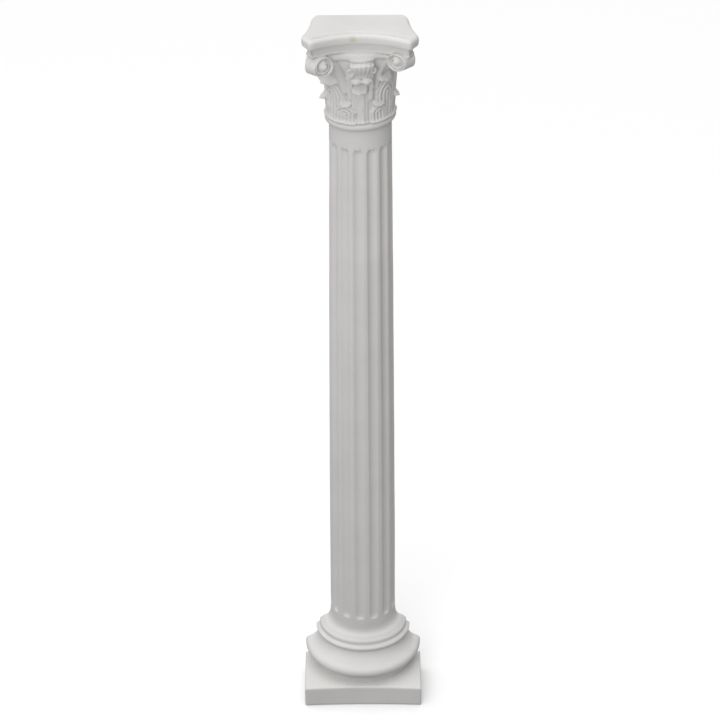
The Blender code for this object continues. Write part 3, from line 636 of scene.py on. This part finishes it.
def palmette_relief(leaves, across, rise):
    """The fan over the middle leaf, its lobes spreading from a point under its foot."""
    below = leaves.palmette_below
    fan = np.arctan2(across, rise - leaves.palmette_foot + below)
    widest = math.atan2(leaves.palmette_half_width, leaves.palmette_height + below - 0.003)
    beside = fan / widest
    far = np.hypot(across, rise - leaves.palmette_foot + below) - below
    lobes = np.abs(np.cos(0.5 * math.pi * leaves.palmette_lobes * (beside + 1.0) + 0.5 * math.pi)) ** 0.4
    top = leaves.palmette_height * (0.97 + 0.03 * lobes) * (1.0 - 0.05 * beside**2)
    crest = eased(leaves.palmette_start, leaves.palmette_rise, far)
    crest = crest * (1.0 - eased(top - leaves.palmette_crest, top, far)) ** 0.6
    swell = 0.74 + 0.26 * eased(0.0, 0.6, far / leaves.palmette_height)
    slit = leaves.palmette_slit * (1.0 - 0.55 * eased(0.3, 0.9, far / leaves.palmette_height))
    body = (np.abs(beside) < 1.0) * domed(beside) ** 0.45 * (1.0 - slit * (1.0 - lobes))
    return leaves.palmette_lift * body * crest * swell


def web_relief(column, angle, rise):
    """The swelling that carries a volute out from the bell, hollow under the right one."""
    volutes = column.volutes
    part = rise / column.bell.height
    off = column.bell.waist_radius * (np.abs(angle) - math.radians(volutes.turn))
    half = np.where(off > 0.0, volutes.web_side, volutes.web_front)
    start = np.where(angle > 0.0, volutes.web_right, volutes.web_left)
    rising = np.clip((part - start) / (volutes.web_top - start), 0.0, 1.0) ** volutes.web_power
    return volutes.web_reach * rising * np.exp(-((off / half) ** 2))


def relief(column, angle, radius, rise):
    """How far the carving stands off the bell, for arrays of directions and heights."""
    leaves = column.leaves
    lift = np.zeros_like(rise)
    for leaf in LEAVES:
        lift = np.maximum(lift, leaf_body(leaves, leaf, radius * (angle - math.radians(leaf.turn)), rise))
        across = radius * (angle - math.radians(leaf.tip_turn))
        lift = np.maximum(lift, leaf_tip(leaves, leaf, across, rise))
    across = radius * (angle - math.radians(MIDDLE_LEAF.turn))
    lift = np.maximum(lift, middle_body(leaves, MIDDLE_LEAF, across, rise))
    for turn_deg, low, high, half in STALKS:
        across = radius * (angle - math.radians(turn_deg))
        along = eased(low, low + 0.006, rise) * (1.0 - eased(high - 0.004, high, rise))
        lift = np.maximum(lift, leaves.stalk * domed(across / half) * along)
    for turn_deg, low, high, half in SLITS:
        across = radius * (angle - math.radians(turn_deg))
        along = eased(low, low + 0.003, rise) * (1.0 - eased(high - 0.003, high, rise))
        lift = lift - leaves.slit * np.exp(-((across / half) ** 2)) * along
    across = radius * (angle - math.radians(MIDDLE_LEAF.tip_turn))
    lift = np.maximum(lift, leaf_tip(leaves, MIDDLE_LEAF, across, rise))
    across = radius * (angle - math.radians(leaves.palmette_turn))
    tall = eased(*CORE_RISE, rise) * (1.0 - eased(*CORE_FALL, rise))
    lift = np.maximum(lift, leaves.core * domed(across / leaves.core_half_width) * tall)
    lift = lift + column.bell.seam_fill * (1.0 - eased(0.0, column.bell.seam_height, rise))
    lift = np.maximum(lift, palmette_relief(leaves, across, rise))
    return np.maximum(lift, web_relief(column, angle, rise))


def beads(shape, path, radii):
    """Round beads strung close together along a path, which fuse into one soft stem."""
    for place, radius in zip(path, radii):
        matrix = Matrix.Translation(place) @ Matrix.Diagonal((radius, radius, radius, 1.0))
        bmesh.ops.create_icosphere(shape, subdivisions=2, radius=1.0, matrix=matrix)


def smooth_path(points, steps):
    """Points evenly along a smooth curve through the given ones."""
    path = []
    last = len(points) - 1
    for step in range(steps + 1):
        place = last * step / steps
        index = min(int(place), last - 1)
        part = place - index
        before, start = points[max(index - 1, 0)], points[index]
        end, after = points[index + 1], points[min(index + 2, last)]
        path.append(
            0.5
            * (
                2.0 * start
                + (end - before) * part
                + (2.0 * before - 5.0 * start + 4.0 * end - after) * part**2
                + (3.0 * start - before - 3.0 * end + after) * part**3
            )
        )
    return path


def spiral_depth(volutes, off, angle):
    """Depth of the channel that winds into a volute's face."""
    if off < volutes.eye_radius:
        return 0.0
    pitch = (volutes.radius - volutes.eye_radius) / volutes.turns
    phase = (off - volutes.eye_radius) / pitch - angle / (2.0 * math.pi)
    channel = (0.5 - 0.5 * math.cos(2.0 * math.pi * phase)) ** 0.7 * (0.35 + 0.65 * abs(math.cos(angle)))
    ring = 1.0 - ease(0.80, 0.93, off / volutes.radius)
    return volutes.groove * channel * ring * ease(0.0, 0.25, off / volutes.eye_radius - 1.0)


def volute(column, levels, side):
    """A corner scroll: a wedge-shaped drum on the diagonal, a spiral on each face."""
    volutes = column.volutes
    sides, rings = VOLUTE_SIDES, VOLUTE_RINGS
    shape = bmesh.new()
    bmesh.ops.create_cone(
        shape, cap_ends=True, segments=sides, radius1=volutes.radius, radius2=volutes.radius, depth=2.0
    )
    for ring in range(1, rings):
        caps = [face for face in shape.faces if len(face.verts) == sides]
        bmesh.ops.inset_individual(shape, faces=caps, thickness=volutes.radius / rings, use_even_offset=True)
    caps = [face for face in shape.faces if len(face.verts) == sides]
    bmesh.ops.poke(shape, faces=caps)
    angle = math.radians(volutes.turn)
    out = Vector((side * math.sin(angle), -math.cos(angle), 0.0))
    along_rim = Vector((-side * out.y, side * out.x, 0.0))
    centre = out * (volutes.reach - volutes.radius)
    centre += Vector((0.0, levels.axis_y, levels.bell_top - volutes.drop + side * volutes.skew))
    for vertex in shape.verts:
        along, high = vertex.co.x, vertex.co.y
        off = math.hypot(along, high)
        half = 0.5 * volutes.rim_breadth + 0.5 * volutes.spread * (volutes.radius - along)
        if off < 0.999 * volutes.radius:
            around = math.atan2(high, along) % (2.0 * math.pi)
            half += volutes.eye_lift * dome(off, volutes.eye_radius) - spiral_depth(volutes, off, around)
        else:
            half -= volutes.rim_edge
        breadth = along_rim * math.copysign(half, vertex.co.z)
        vertex.co = centre + out * along + Vector((0.0, 0.0, high)) + breadth
    return shape


def abacus_outline(column, levels):
    """The abacus from above, evenly stepped, its corners rounded by averaging along the line."""
    abacus = column.abacus
    axis = Vector((0.0, levels.axis_y))
    back = HIGH.y + abacus.run_on
    front_right = axis + Vector((abacus.horn, -abacus.front))
    side_right = axis + Vector((abacus.side, -abacus.front + abacus.cut))
    far_right = axis + Vector((abacus.side, abacus.front - abacus.cut))

    def hollow(start, end, depth, part):
        chord = end - start
        inward = Vector((-chord.y, chord.x)).normalized()
        return start + chord * part + inward * depth * 4.0 * part * (1.0 - part)

    front_left = Vector((-front_right.x, front_right.y))
    parts = [0.5 + 0.5 * i / FRONT_STEPS for i in range(FRONT_STEPS)]
    half = [hollow(front_left, front_right, abacus.front_hollow, part) for part in parts]
    half += [front_right.lerp(side_right, i / CUT_STEPS) for i in range(CUT_STEPS)]
    parts = [i / FLANK_STEPS for i in range(FLANK_STEPS)]
    flank = [hollow(side_right, far_right, abacus.side_hollow, part) for part in parts]
    corner = Vector((abacus.side - abacus.side_hollow - abacus.back_round, HIGH.y - abacus.back_round))
    half += [place for place in flank if place.y < corner.y]
    for i in range(ROUND_STEPS + 1):
        angle = 0.5 * math.pi * i / ROUND_STEPS
        x = corner.x + abacus.back_round * math.cos(angle)
        half.append(Vector((x, corner.y + (back - corner.y) * math.sin(angle))))
    edge_x = half[-1].x
    half += [Vector((edge_x * (1.0 - i / BACK_STEPS), back)) for i in range(BACK_STEPS)]
    whole = half + [Vector((-place.x, place.y)) for place in reversed(half) if abs(place.x) > 0.0001]
    return rounded(whole, abacus.corner)


def rounded(outline, window):
    """Steps a closed outline evenly and averages it over a window, which rounds its corners."""
    ring = np.array([tuple(place) for place in outline + outline[:1]])
    runs = np.concatenate(([0.0], np.cumsum(np.hypot(*np.diff(ring, axis=0).T))))
    marks = np.linspace(0.0, runs[-1], OUTLINE_STEPS, endpoint=False)
    even = np.stack([np.interp(marks, runs, ring[:, axis]) for axis in (0, 1)], axis=1)
    reach = max(1, round(0.5 * window / (runs[-1] / OUTLINE_STEPS)))
    weights = np.bartlett(2 * reach + 3)[1:-1]
    weights = weights / weights.sum()
    shifts = range(-reach, reach + 1)
    soft = sum(weight * np.roll(even, shift, axis=0) for weight, shift in zip(weights, shifts))
    return [Vector(place) for place in soft]


def abacus_profile(column, levels):
    """(inset, height, dip in front) of the abacus's side from the bottom up."""
    abacus = column.abacus
    low, joint, top = levels.bell_top, levels.band_top, HIGH.z - 0.00015
    inset, edge = abacus.band_inset, abacus.slab_edge
    tall = joint - low
    points = [(inset + 0.0022, low - 0.0006), (inset + 0.0007, low), (inset, low + 0.0008)]
    points += [(inset, low + 0.22 * tall), (inset + 0.0007, low + 0.25 * tall)]
    points += [(inset + 0.0011, low + 0.32 * tall), (inset + 0.0012, low + 0.6 * tall)]
    points += [(inset + 0.0009, joint - 0.0016), (inset + 0.0016, joint - 0.0008)]
    points += [(inset + 0.0016, joint - 0.0002), (0.0011, joint + 0.0002), (0.0004, joint + 0.0008)]
    points += [(0.0002, joint + 0.002), (0.0, joint + 0.004)]
    for step in range(7):
        angle = 0.5 * math.pi * step / 6
        points.append((edge * (1.0 - math.cos(angle)), top - edge + edge * math.sin(angle)))
    middle, half, depth = abacus.groove_inset, abacus.groove_half, abacus.groove_depth
    points = [(inset, height, 0.0) for inset, height in points]
    for step in range(-2, 3):
        points.append((middle + 0.5 * step * half, top, depth * dome(step, 2.0)))
    return points


class COLUMN_OT_shaft(bpy.types.Operator):
    """Turns the base, the fluted shaft and the astragal"""

    bl_idname = "half_column.shaft"
    bl_label = "Base, shaft and astragal"

    def execute(self, context):
        column = context.scene.half_column
        levels = Levels(column)
        shape = spun(column_profile(column, levels), levels, 20 * column.shaft.flutes)
        for vertex in shape.verts:
            place = vertex.co
            flat = Vector((place.x, place.y - levels.axis_y))
            if levels.shaft_foot < place.z < levels.shaft_neck and place.y < HIGH.y + 0.004:
                angle = math.atan2(flat.x, -flat.y)
                flat *= 1.0 - flute_depth(column, levels, angle, place.z) / flat.length
                place.x = flat.x
                place.y = levels.axis_y + flat.y
            elif levels.lower_torus_top < place.z <= levels.shaft_foot:
                place.y = levels.axis_y + flat.y * (1.0 - self.flattening(column, levels, place.z))
            place.z = leaned(column, levels, place)
        finished(shape, "shaft")
        return {"FINISHED"}

    @staticmethod
    def flattening(column, levels, z):
        """How much the mouldings over the hollow are flattened at a height."""
        rising = ease(levels.lower_torus_top, levels.scotia_top, z)
        return column.base.flattening * rising * (1.0 - ease(levels.upper_torus_top, levels.shaft_foot, z))


class COLUMN_OT_plinth(bpy.types.Operator):
    """Cuts the square block that the base stands on"""

    bl_idname = "half_column.plinth"
    bl_label = "Plinth"

    def execute(self, context):
        base = context.scene.half_column.base
        shape = bmesh.new()
        bmesh.ops.create_cube(shape, size=1.0)
        size = Vector((HIGH.x - LOW.x, HIGH.y - LOW.y + 0.004, base.plinth_height))
        bmesh.ops.scale(shape, verts=shape.verts, vec=size)
        middle = Vector((0.5 * (HIGH.x + LOW.x), LOW.y + 0.5 * size.y, 0.5 * size.z))
        bmesh.ops.translate(shape, verts=shape.verts, vec=middle)
        bmesh.ops.bevel(
            shape,
            geom=shape.edges,
            offset=base.plinth_edge,
            segments=3,
            profile=0.5,
            affect="EDGES",
            material=-1,
        )
        long_edges = [edge for edge in shape.edges if edge.calc_length() > 5.0 * base.plinth_edge]
        bmesh.ops.subdivide_edges(shape, edges=long_edges, cuts=15, use_grid_fill=True)
        for vertex in shape.verts:
            place = vertex.co
            aside = (place.x / HIGH.x) ** 2
            place.z -= base.plinth_droop * aside * ease(0.5 * base.plinth_height, base.plinth_height, place.z)
            if place.z < 0.5 * base.plinth_edge:
                place.z = 0.0
            if place.y < LOW.y + 2.0 * base.plinth_edge:
                place.y += base.plinth_hollow * (1.0 - aside)
        bmesh.ops.triangulate(shape, faces=shape.faces)
        finished(shape, "plinth")
        return {"FINISHED"}


class COLUMN_OT_bell(bpy.types.Operator):
    """Turns the bell and carves its leaves, stalks, palmette and the swellings under the volutes"""

    bl_idname = "half_column.bell"
    bl_label = "Bell with its leaves"

    def execute(self, context):
        column = context.scene.half_column
        levels = Levels(column)
        bell = column.bell
        top, foot = levels.bell_top + 0.003, -0.5 * column.shaft.astragal_height
        profile = [(0.0, top), (bell.shoulder_radius - 0.004, top)]
        for row in range(BELL_ROWS + 1):
            rise = bell.height + (foot - bell.height) * row / BELL_ROWS
            profile.append((bell_radius(bell, rise), levels.astragal_top + rise))
        profile.append((0.0, levels.astragal_top + foot))
        piece = finished(spun(profile, levels, BELL_STEPS), "capital_bell")
        mesh = piece.data
        places = np.empty(3 * len(mesh.vertices), dtype=np.float32)
        mesh.vertices.foreach_get("co", places)
        places = places.reshape(-1, 3).astype(float)
        flat_y = places[:, 1] - levels.axis_y
        radius = np.hypot(places[:, 0], flat_y)
        rise = places[:, 2] - levels.astragal_top
        angle = np.arctan2(places[:, 0], -flat_y)
        carved = (radius > 0.5 * bell.neck_radius) & (rise > 0.0) & (rise < bell.height + 0.001)
        lift = relief(column, angle, np.minimum(radius, bell.shoulder_radius), rise) * carved
        grown = 1.0 + lift / np.maximum(radius, 0.001)
        places[:, 0] *= grown
        places[:, 1] = levels.axis_y + flat_y * grown
        mesh.vertices.foreach_set("co", places.astype(np.float32).ravel())
        mesh.update()
        return {"FINISHED"}


class COLUMN_OT_curls(bpy.types.Operator):
    """Rolls the curls beside the palmette and the pair of scrolls under it"""

    bl_idname = "half_column.curls"
    bl_label = "Small curls and scrolls"

    def execute(self, context):
        column = context.scene.half_column
        levels = Levels(column)
        shape = bmesh.new()
        for turn_deg, rise, radius, out in CURLS:
            place = facing(levels, turn_deg, out, levels.astragal_top + rise, 12.0)
            circle = [
                place @ Vector((radius * math.cos(a), 0.0, 1.3 * radius * math.sin(a)))
                for a in np.linspace(0.0, 2.0 * math.pi, 18)
            ]
            beads(shape, circle, [CURL_GIRTH] * len(circle))
            heart = place @ Matrix.Translation((0.0, 0.0022, 0.0))
            bmesh.ops.create_icosphere(shape, subdivisions=2, radius=1.2 * radius, matrix=heart)
        for side in (-1.0, 1.0):
            turn_deg = PAIR_TURN + side * PAIR_SPREAD
            place = facing(levels, turn_deg, PAIR_OUT, levels.astragal_top + PAIR_RISE, 10.0)
            lobe = place @ Matrix.Diagonal(PAIR_SIZE)
            bmesh.ops.create_icosphere(shape, subdivisions=3, radius=1.0, matrix=lobe)
            arch = [
                place @ Vector((side * 0.0042 * math.cos(a), -0.0034, 0.0026 * math.sin(a) + 0.0004))
                for a in np.linspace(0.0, math.pi, 16)
            ]
            beads(shape, arch, [PAIR_GIRTH] * len(arch))
        finished(shape, "capital_curls")
        return {"FINISHED"}


class COLUMN_OT_volutes(bpy.types.Operator):
    """Rolls up the corner volutes and their stalks"""

    bl_idname = "half_column.volutes"
    bl_label = "Volutes and stalks"

    def execute(self, context):
        column = context.scene.half_column
        levels = Levels(column)
        for side, name, girth in ((-1.0, "left", 1.0), (1.0, "right", 0.7)):
            shape = volute(column, levels, side)
            rise = levels.astragal_top + side * column.volutes.skew
            points = [on_column(levels, side * t, r, rise + h) for t, r, h in STEM]
            path = smooth_path(points, 36)
            beads(shape, path, girth * np.linspace(*STEM_GIRTHS, len(path)))
            rise = levels.astragal_top
            points = [on_column(levels, side * t + PAIR_TURN, r, rise + h) for t, r, h in HELIX]
            path = smooth_path(points, 24)
            beads(shape, path, np.linspace(*HELIX_GIRTHS, len(path)))
            finished(shape, f"capital_volute_{name}")
        return {"FINISHED"}


class COLUMN_OT_abacus(bpy.types.Operator):
    """Moulds the hollow-sided abacus on top"""

    bl_idname = "half_column.abacus"
    bl_label = "Abacus"

    def execute(self, context):
        column = context.scene.half_column
        levels = Levels(column)
        outline = abacus_outline(column, levels)
        total = len(outline)
        normals = []
        for index in range(total):
            run = outline[(index + 1) % total] - outline[index - 1]
            normals.append(Vector((run.y, -run.x)).normalized())
        profile = abacus_profile(column, levels)
        shape = bmesh.new()
        ring = [shape.verts.new((0.0, 0.0, 0.0)) for place in outline]
        edges = [shape.edges.new((ring[index - 1], ring[index])) for index in range(total)]
        bmesh.ops.contextual_create(shape, geom=edges)
        self.place(ring, outline, normals, profile[0])
        for level in profile[1:]:
            new = bmesh.ops.extrude_edge_only(shape, edges=edges)["geom"]
            edges = [item for item in new if isinstance(item, bmesh.types.BMEdge)]
            grown = [item for item in new if isinstance(item, bmesh.types.BMVert)]
            self.place(grown, outline, normals, level)
        bmesh.ops.contextual_create(shape, geom=edges)
        finished(shape, "capital_abacus")
        return {"FINISHED"}

    @staticmethod
    def place(ring, outline, normals, level):
        """Sets a ring of vertices on the outline, drawn in by a level's inset but for the back."""
        inset, height, dip = level
        for vertex, place, normal in zip(ring, outline, normals):
            z = height - dip * ease(0.5, 0.9, -normal.y)
            vertex.co = (place.x - normal.x * inset, place.y - min(normal.y, 0.0) * inset, z)


class COLUMN_OT_cast(bpy.types.Operator):
    """Fuses all pieces into one casting with soft edges and a flat back"""

    bl_idname = "half_column.cast"
    bl_label = "Cast in one piece"

    def execute(self, context):
        column = context.scene.half_column
        levels = Levels(column)
        cast = column.cast
        carved = [piece for piece in context.scene.objects if piece.name.startswith("capital_")]
        shape = bmesh.new()
        for piece in carved:
            start = len(shape.verts)
            shape.from_mesh(piece.data)
            shape.verts.ensure_lookup_table()
            if piece.name != "capital_abacus":
                for vertex in shape.verts[start:]:
                    vertex.co.z = leaned(column, levels, vertex.co)
            bpy.data.objects.remove(piece)
        bmesh.ops.triangulate(shape, faces=shape.faces)
        capital = finished(shape, "capital")
        remesh = capital.modifiers.new("Fuse", "REMESH")
        remesh.mode = "VOXEL"
        remesh.voxel_size = cast.voxel
        evaluated(capital)
        self.soften(capital, cast.softening)
        self.thin(capital, cast.triangles)
        whole = bpy.data.objects["shaft"]
        for other in (bpy.data.objects["plinth"], capital):
            self.combine(whole, other, "UNION")
        self.ripple(whole, cast)
        back = bmesh.new()
        bmesh.ops.create_cube(back, size=1.0)
        reach = HIGH.z
        middle = (0.0, HIGH.y + 0.5 * reach, 0.5 * reach)
        bmesh.ops.scale(back, verts=back.verts, vec=(reach, reach, 1.2 * reach))
        bmesh.ops.translate(back, verts=back.verts, vec=middle)
        self.combine(whole, finished(back, "back_block"), "DIFFERENCE")
        whole.name = "cast_column"
        whole.data.name = "cast_column"
        whole.data.materials.clear()
        whole.data.materials.append(plaster(column, levels))
        whole.data.shade_smooth()
        whole.data.set_sharp_from_angle(angle=math.radians(cast.sharp_over))
        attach(whole, "root")
        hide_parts("column")
        return {"FINISHED"}

    @staticmethod
    def soften(piece, rounds):
        """Smooths the fused surface a little, as a cast from a soft mould is."""
        shape = bmesh.new()
        shape.from_mesh(piece.data)
        for _ in range(rounds):
            bmesh.ops.smooth_vert(
                shape, verts=shape.verts, factor=0.5, use_axis_x=True, use_axis_y=True, use_axis_z=True
            )
        shape.to_mesh(piece.data)
        shape.free()

    @staticmethod
    def thin(piece, triangles):
        """Keeps at most this many triangles, spending them where the surface bends."""
        total = sum(len(face.vertices) - 2 for face in piece.data.polygons)
        decimate = piece.modifiers.new("Thin", "DECIMATE")
        decimate.ratio = min(1.0, triangles / total)
        evaluated(piece)

    @staticmethod
    def combine(body, tool, operation):
        """Joins a tool to the body or cuts it away, then removes the tool."""
        boolean = body.modifiers.new(operation, "BOOLEAN")
        boolean.operation = operation
        boolean.object = tool
        boolean.solver = "MANIFOLD"
        evaluated(body)
        bpy.data.objects.remove(tool)

    @staticmethod
    def ripple(piece, cast):
        """Adds the unevenness of a hand-worked model, inside the solid's box."""
        mesh = piece.data
        total = len(mesh.vertices)
        places = np.empty(3 * total, dtype=np.float32)
        normals = np.empty(3 * total, dtype=np.float32)
        mesh.vertices.foreach_get("co", places)
        mesh.vertices.foreach_get("normal", normals)
        places = places.reshape(-1, 3)
        normals = normals.reshape(-1, 3)
        broad = np.array([noise.noise(Vector(place) * cast.broad_waves) for place in places])
        fine = np.array([noise.noise(Vector(place) * cast.fine_waves) for place in places])
        waves = broad + cast.fine_share * fine
        inside = (places[:, 2] > cast.flat_foot) & (places[:, 2] < HIGH.z - cast.flat_top)
        places += normals * (cast.ripple * (waves - cast.ripple_sink) * inside)[:, None]
        places[:, 0] = np.clip(places[:, 0], LOW.x, HIGH.x)
        places[:, 1] = np.maximum(places[:, 1], LOW.y)
        places[:, 2] = np.clip(places[:, 2], LOW.z, HIGH.z)
        mesh.vertices.foreach_set("co", places.ravel())
        mesh.update()


def node(tree, kind, values=None, **settings):
    """Adds a shader node; each value is set on its input, or linked to it when it is an output."""
    made = tree.nodes.new("ShaderNode" + kind)
    for key, value in settings.items():
        setattr(made, key, value)
    for key, value in (values or {}).items():
        if isinstance(value, bpy.types.NodeSocket):
            tree.links.new(value, made.inputs[key])
        else:
            made.inputs[key].default_value = value
    return made


def span(value, start, end, low, high):
    """Inputs of a map from one span of values to another."""
    return {"Value": value, "From Min": start, "From Max": end, "To Min": low, "To Max": high}


def plaster(column, levels):
    """Matt cast plaster with patches of dust, painted shade that darkens the capital's creases, fine pores
    and a stain on the abacus.
    """
    look = column.plaster
    material = bpy.data.materials.new("cast_plaster")
    material.use_nodes = True
    tree = material.node_tree
    where = node(tree, "TexCoord").outputs["Object"]
    cloud = node(tree, "TexNoise", {"Scale": look.clouds, "Detail": 6.0, "Roughness": 0.62, "Vector": where})
    patches = node(tree, "ValToRGB", {"Fac": cloud.outputs["Fac"]})
    for element, position, shade in zip(patches.color_ramp.elements, (0.30, 0.62), (look.dull, look.light)):
        element.position = position
        element.color = (*shade, 1.0)
    off = node(tree, "VectorMath", {0: where, 1: look.stain_place}, operation="DISTANCE")
    near = span(off.outputs["Value"], 0.2 * look.stain_reach, look.stain_reach, look.stain_share, 0.0)
    fade = node(tree, "MapRange", near, interpolation_type="SMOOTHSTEP")
    shades = {"Fac": fade.outputs["Result"], "Color1": patches.outputs["Color"], "Color2": (*look.stain, 1.0)}
    stained = node(tree, "MixRGB", shades)
    # Painted shade: where pointiness is low, in the creases and slits of the capital, the colour is darkened
    # to stand in for the shade that falls there.
    pointed = node(tree, "NewGeometry").outputs["Pointiness"]
    hollow = node(tree, "MapRange", span(pointed, 0.42, 0.495, 1.0, 0.0))
    height = node(tree, "SeparateXYZ", {"Vector": where}).outputs["Z"]
    carved = node(tree, "MapRange", span(height, levels.shaft_neck, levels.astragal_top, 0.0, 1.0))
    ends = {0: hollow.outputs["Result"], 1: carved.outputs["Result"]}
    crease_shade_mask = node(tree, "Math", ends, operation="MULTIPLY")
    shades = {"Fac": crease_shade_mask.outputs["Value"], "Color1": stained.outputs["Color"], "Color2": (*look.crease_shade, 1.0)}
    # Mixes the dust patches and the stain with the painted shade of the creases.
    dust_and_crease_shade = node(tree, "MixRGB", shades)
    pores = node(tree, "TexNoise", {"Scale": look.grain, "Detail": 4.0, "Vector": where})
    rough = {"Strength": 0.6, "Distance": look.grain_depth, "Height": pores.outputs["Fac"]}
    bump = node(tree, "Bump", rough)
    shader = tree.nodes["Principled BSDF"]
    shader.inputs["Roughness"].default_value = look.roughness
    shader.inputs["Specular IOR Level"].default_value = 0.25
    tree.links.new(dust_and_crease_shade.outputs["Color"], shader.inputs["Base Color"])
    tree.links.new(bump.outputs["Normal"], shader.inputs["Normal"])
    return material


class COLUMN_OT_stage(bpy.types.Operator):
    """Sets the floor, the soft light and the camera"""

    bl_idname = "half_column.stage"
    bl_label = "Stage"

    def execute(self, context):
        column = context.scene.half_column
        stage = column.stage
        scene = context.scene
        levels = Levels(column)
        scene.view_settings.view_transform = "Standard"
        shape = bmesh.new()
        bmesh.ops.create_grid(shape, x_segments=1, y_segments=1, size=0.5 * stage.floor_size)
        floor = finished(shape, "floor")
        material = bpy.data.materials.new("floor_paint")
        material.use_nodes = True
        shader = material.node_tree.nodes["Principled BSDF"]
        shader.inputs["Base Color"].default_value = (*stage.floor_colour, 1.0)
        shader.inputs["Roughness"].default_value = 0.9
        floor.data.materials.append(material)
        floor.visible_diffuse = False
        sky = self.light("sky_light", "SUN", stage.sky_power, stage.sky_place, stage.sky_aim)
        sky.angle = math.radians(stage.sky_angle)
        fill = self.light("fill_light", "AREA", stage.fill_power, stage.fill_place, stage.fill_aim)
        fill.size = stage.fill_size
        world = bpy.data.worlds.new("studio")
        world.use_nodes = True
        scene.world = world
        background = world.node_tree.nodes["Background"]
        background.inputs["Color"].default_value = (1.0, 1.0, 1.0, 1.0)
        background.inputs["Strength"].default_value = stage.world_light
        data = bpy.data.cameras.new("photo_camera")
        data.lens = stage.camera_lens
        data.shift_x = stage.camera_shift
        camera = bpy.data.objects.new("photo_camera", data)
        place = Matrix.Translation((0.0, levels.axis_y - stage.camera_back, stage.camera_height))
        place @= Matrix.Rotation(math.radians(90.0 - stage.camera_pitch), 4, "X")
        place @= Matrix.Rotation(math.radians(-stage.camera_roll), 4, "Z")
        camera.matrix_world = place
        scene.collection.objects.link(camera)
        scene.camera = camera
        return {"FINISHED"}

    @staticmethod
    def light(name, kind, power, place, target):
        """One light aimed at a point."""
        data = bpy.data.lights.new(name, kind)
        data.energy = power
        lamp = bpy.data.objects.new(name, data)
        lamp.location = place
        lamp.rotation_euler = (Vector(target) - Vector(place)).to_track_quat("-Z", "Y").to_euler()
        lamp.visible_camera = False
        bpy.context.scene.collection.objects.link(lamp)
        return data


PIECES = (
    COLUMN_OT_shaft,
    COLUMN_OT_plinth,
    COLUMN_OT_bell,
    COLUMN_OT_curls,
    COLUMN_OT_volutes,
    COLUMN_OT_abacus,
    COLUMN_OT_cast,
    COLUMN_OT_stage,
)


class COLUMN_PT_panel(bpy.types.Panel):
    """Lists the pieces of the half column in the order they are made"""

    bl_idname = "COLUMN_PT_panel"
    bl_label = "Half column"
    bl_space_type = "VIEW_3D"
    bl_region_type = "UI"
    bl_category = "Half column"

    def draw(self, context):
        for operator in PIECES:
            self.layout.operator(operator.bl_idname)


SIZES = (BaseSizes, ShaftSizes, BellSizes, LeafSizes, VoluteSizes, AbacusSizes)
SIZES += (PlasterLook, CastSizes, StageSizes)


def register():
    """Adds the sizes, the operators and the panel."""
    for group in SIZES + (HalfColumn,) + PIECES + (COLUMN_PT_panel,):
        bpy.utils.register_class(group)
    bpy.types.Scene.half_column = PointerProperty(type=HalfColumn)


def unregister():
    """Takes the sizes, the operators and the panel away again."""
    del bpy.types.Scene.half_column
    for group in reversed(SIZES + (HalfColumn,) + PIECES + (COLUMN_PT_panel,)):
        bpy.utils.unregister_class(group)


def main():
    """Makes every piece in order."""
    register()
    bpy.ops.half_column.shaft()
    bpy.ops.half_column.plinth()
    bpy.ops.half_column.bell()
    bpy.ops.half_column.curls()
    bpy.ops.half_column.volutes()
    bpy.ops.half_column.abacus()
    bpy.ops.half_column.cast()
    bpy.ops.half_column.stage()


if __name__ == "__main__":
    main()
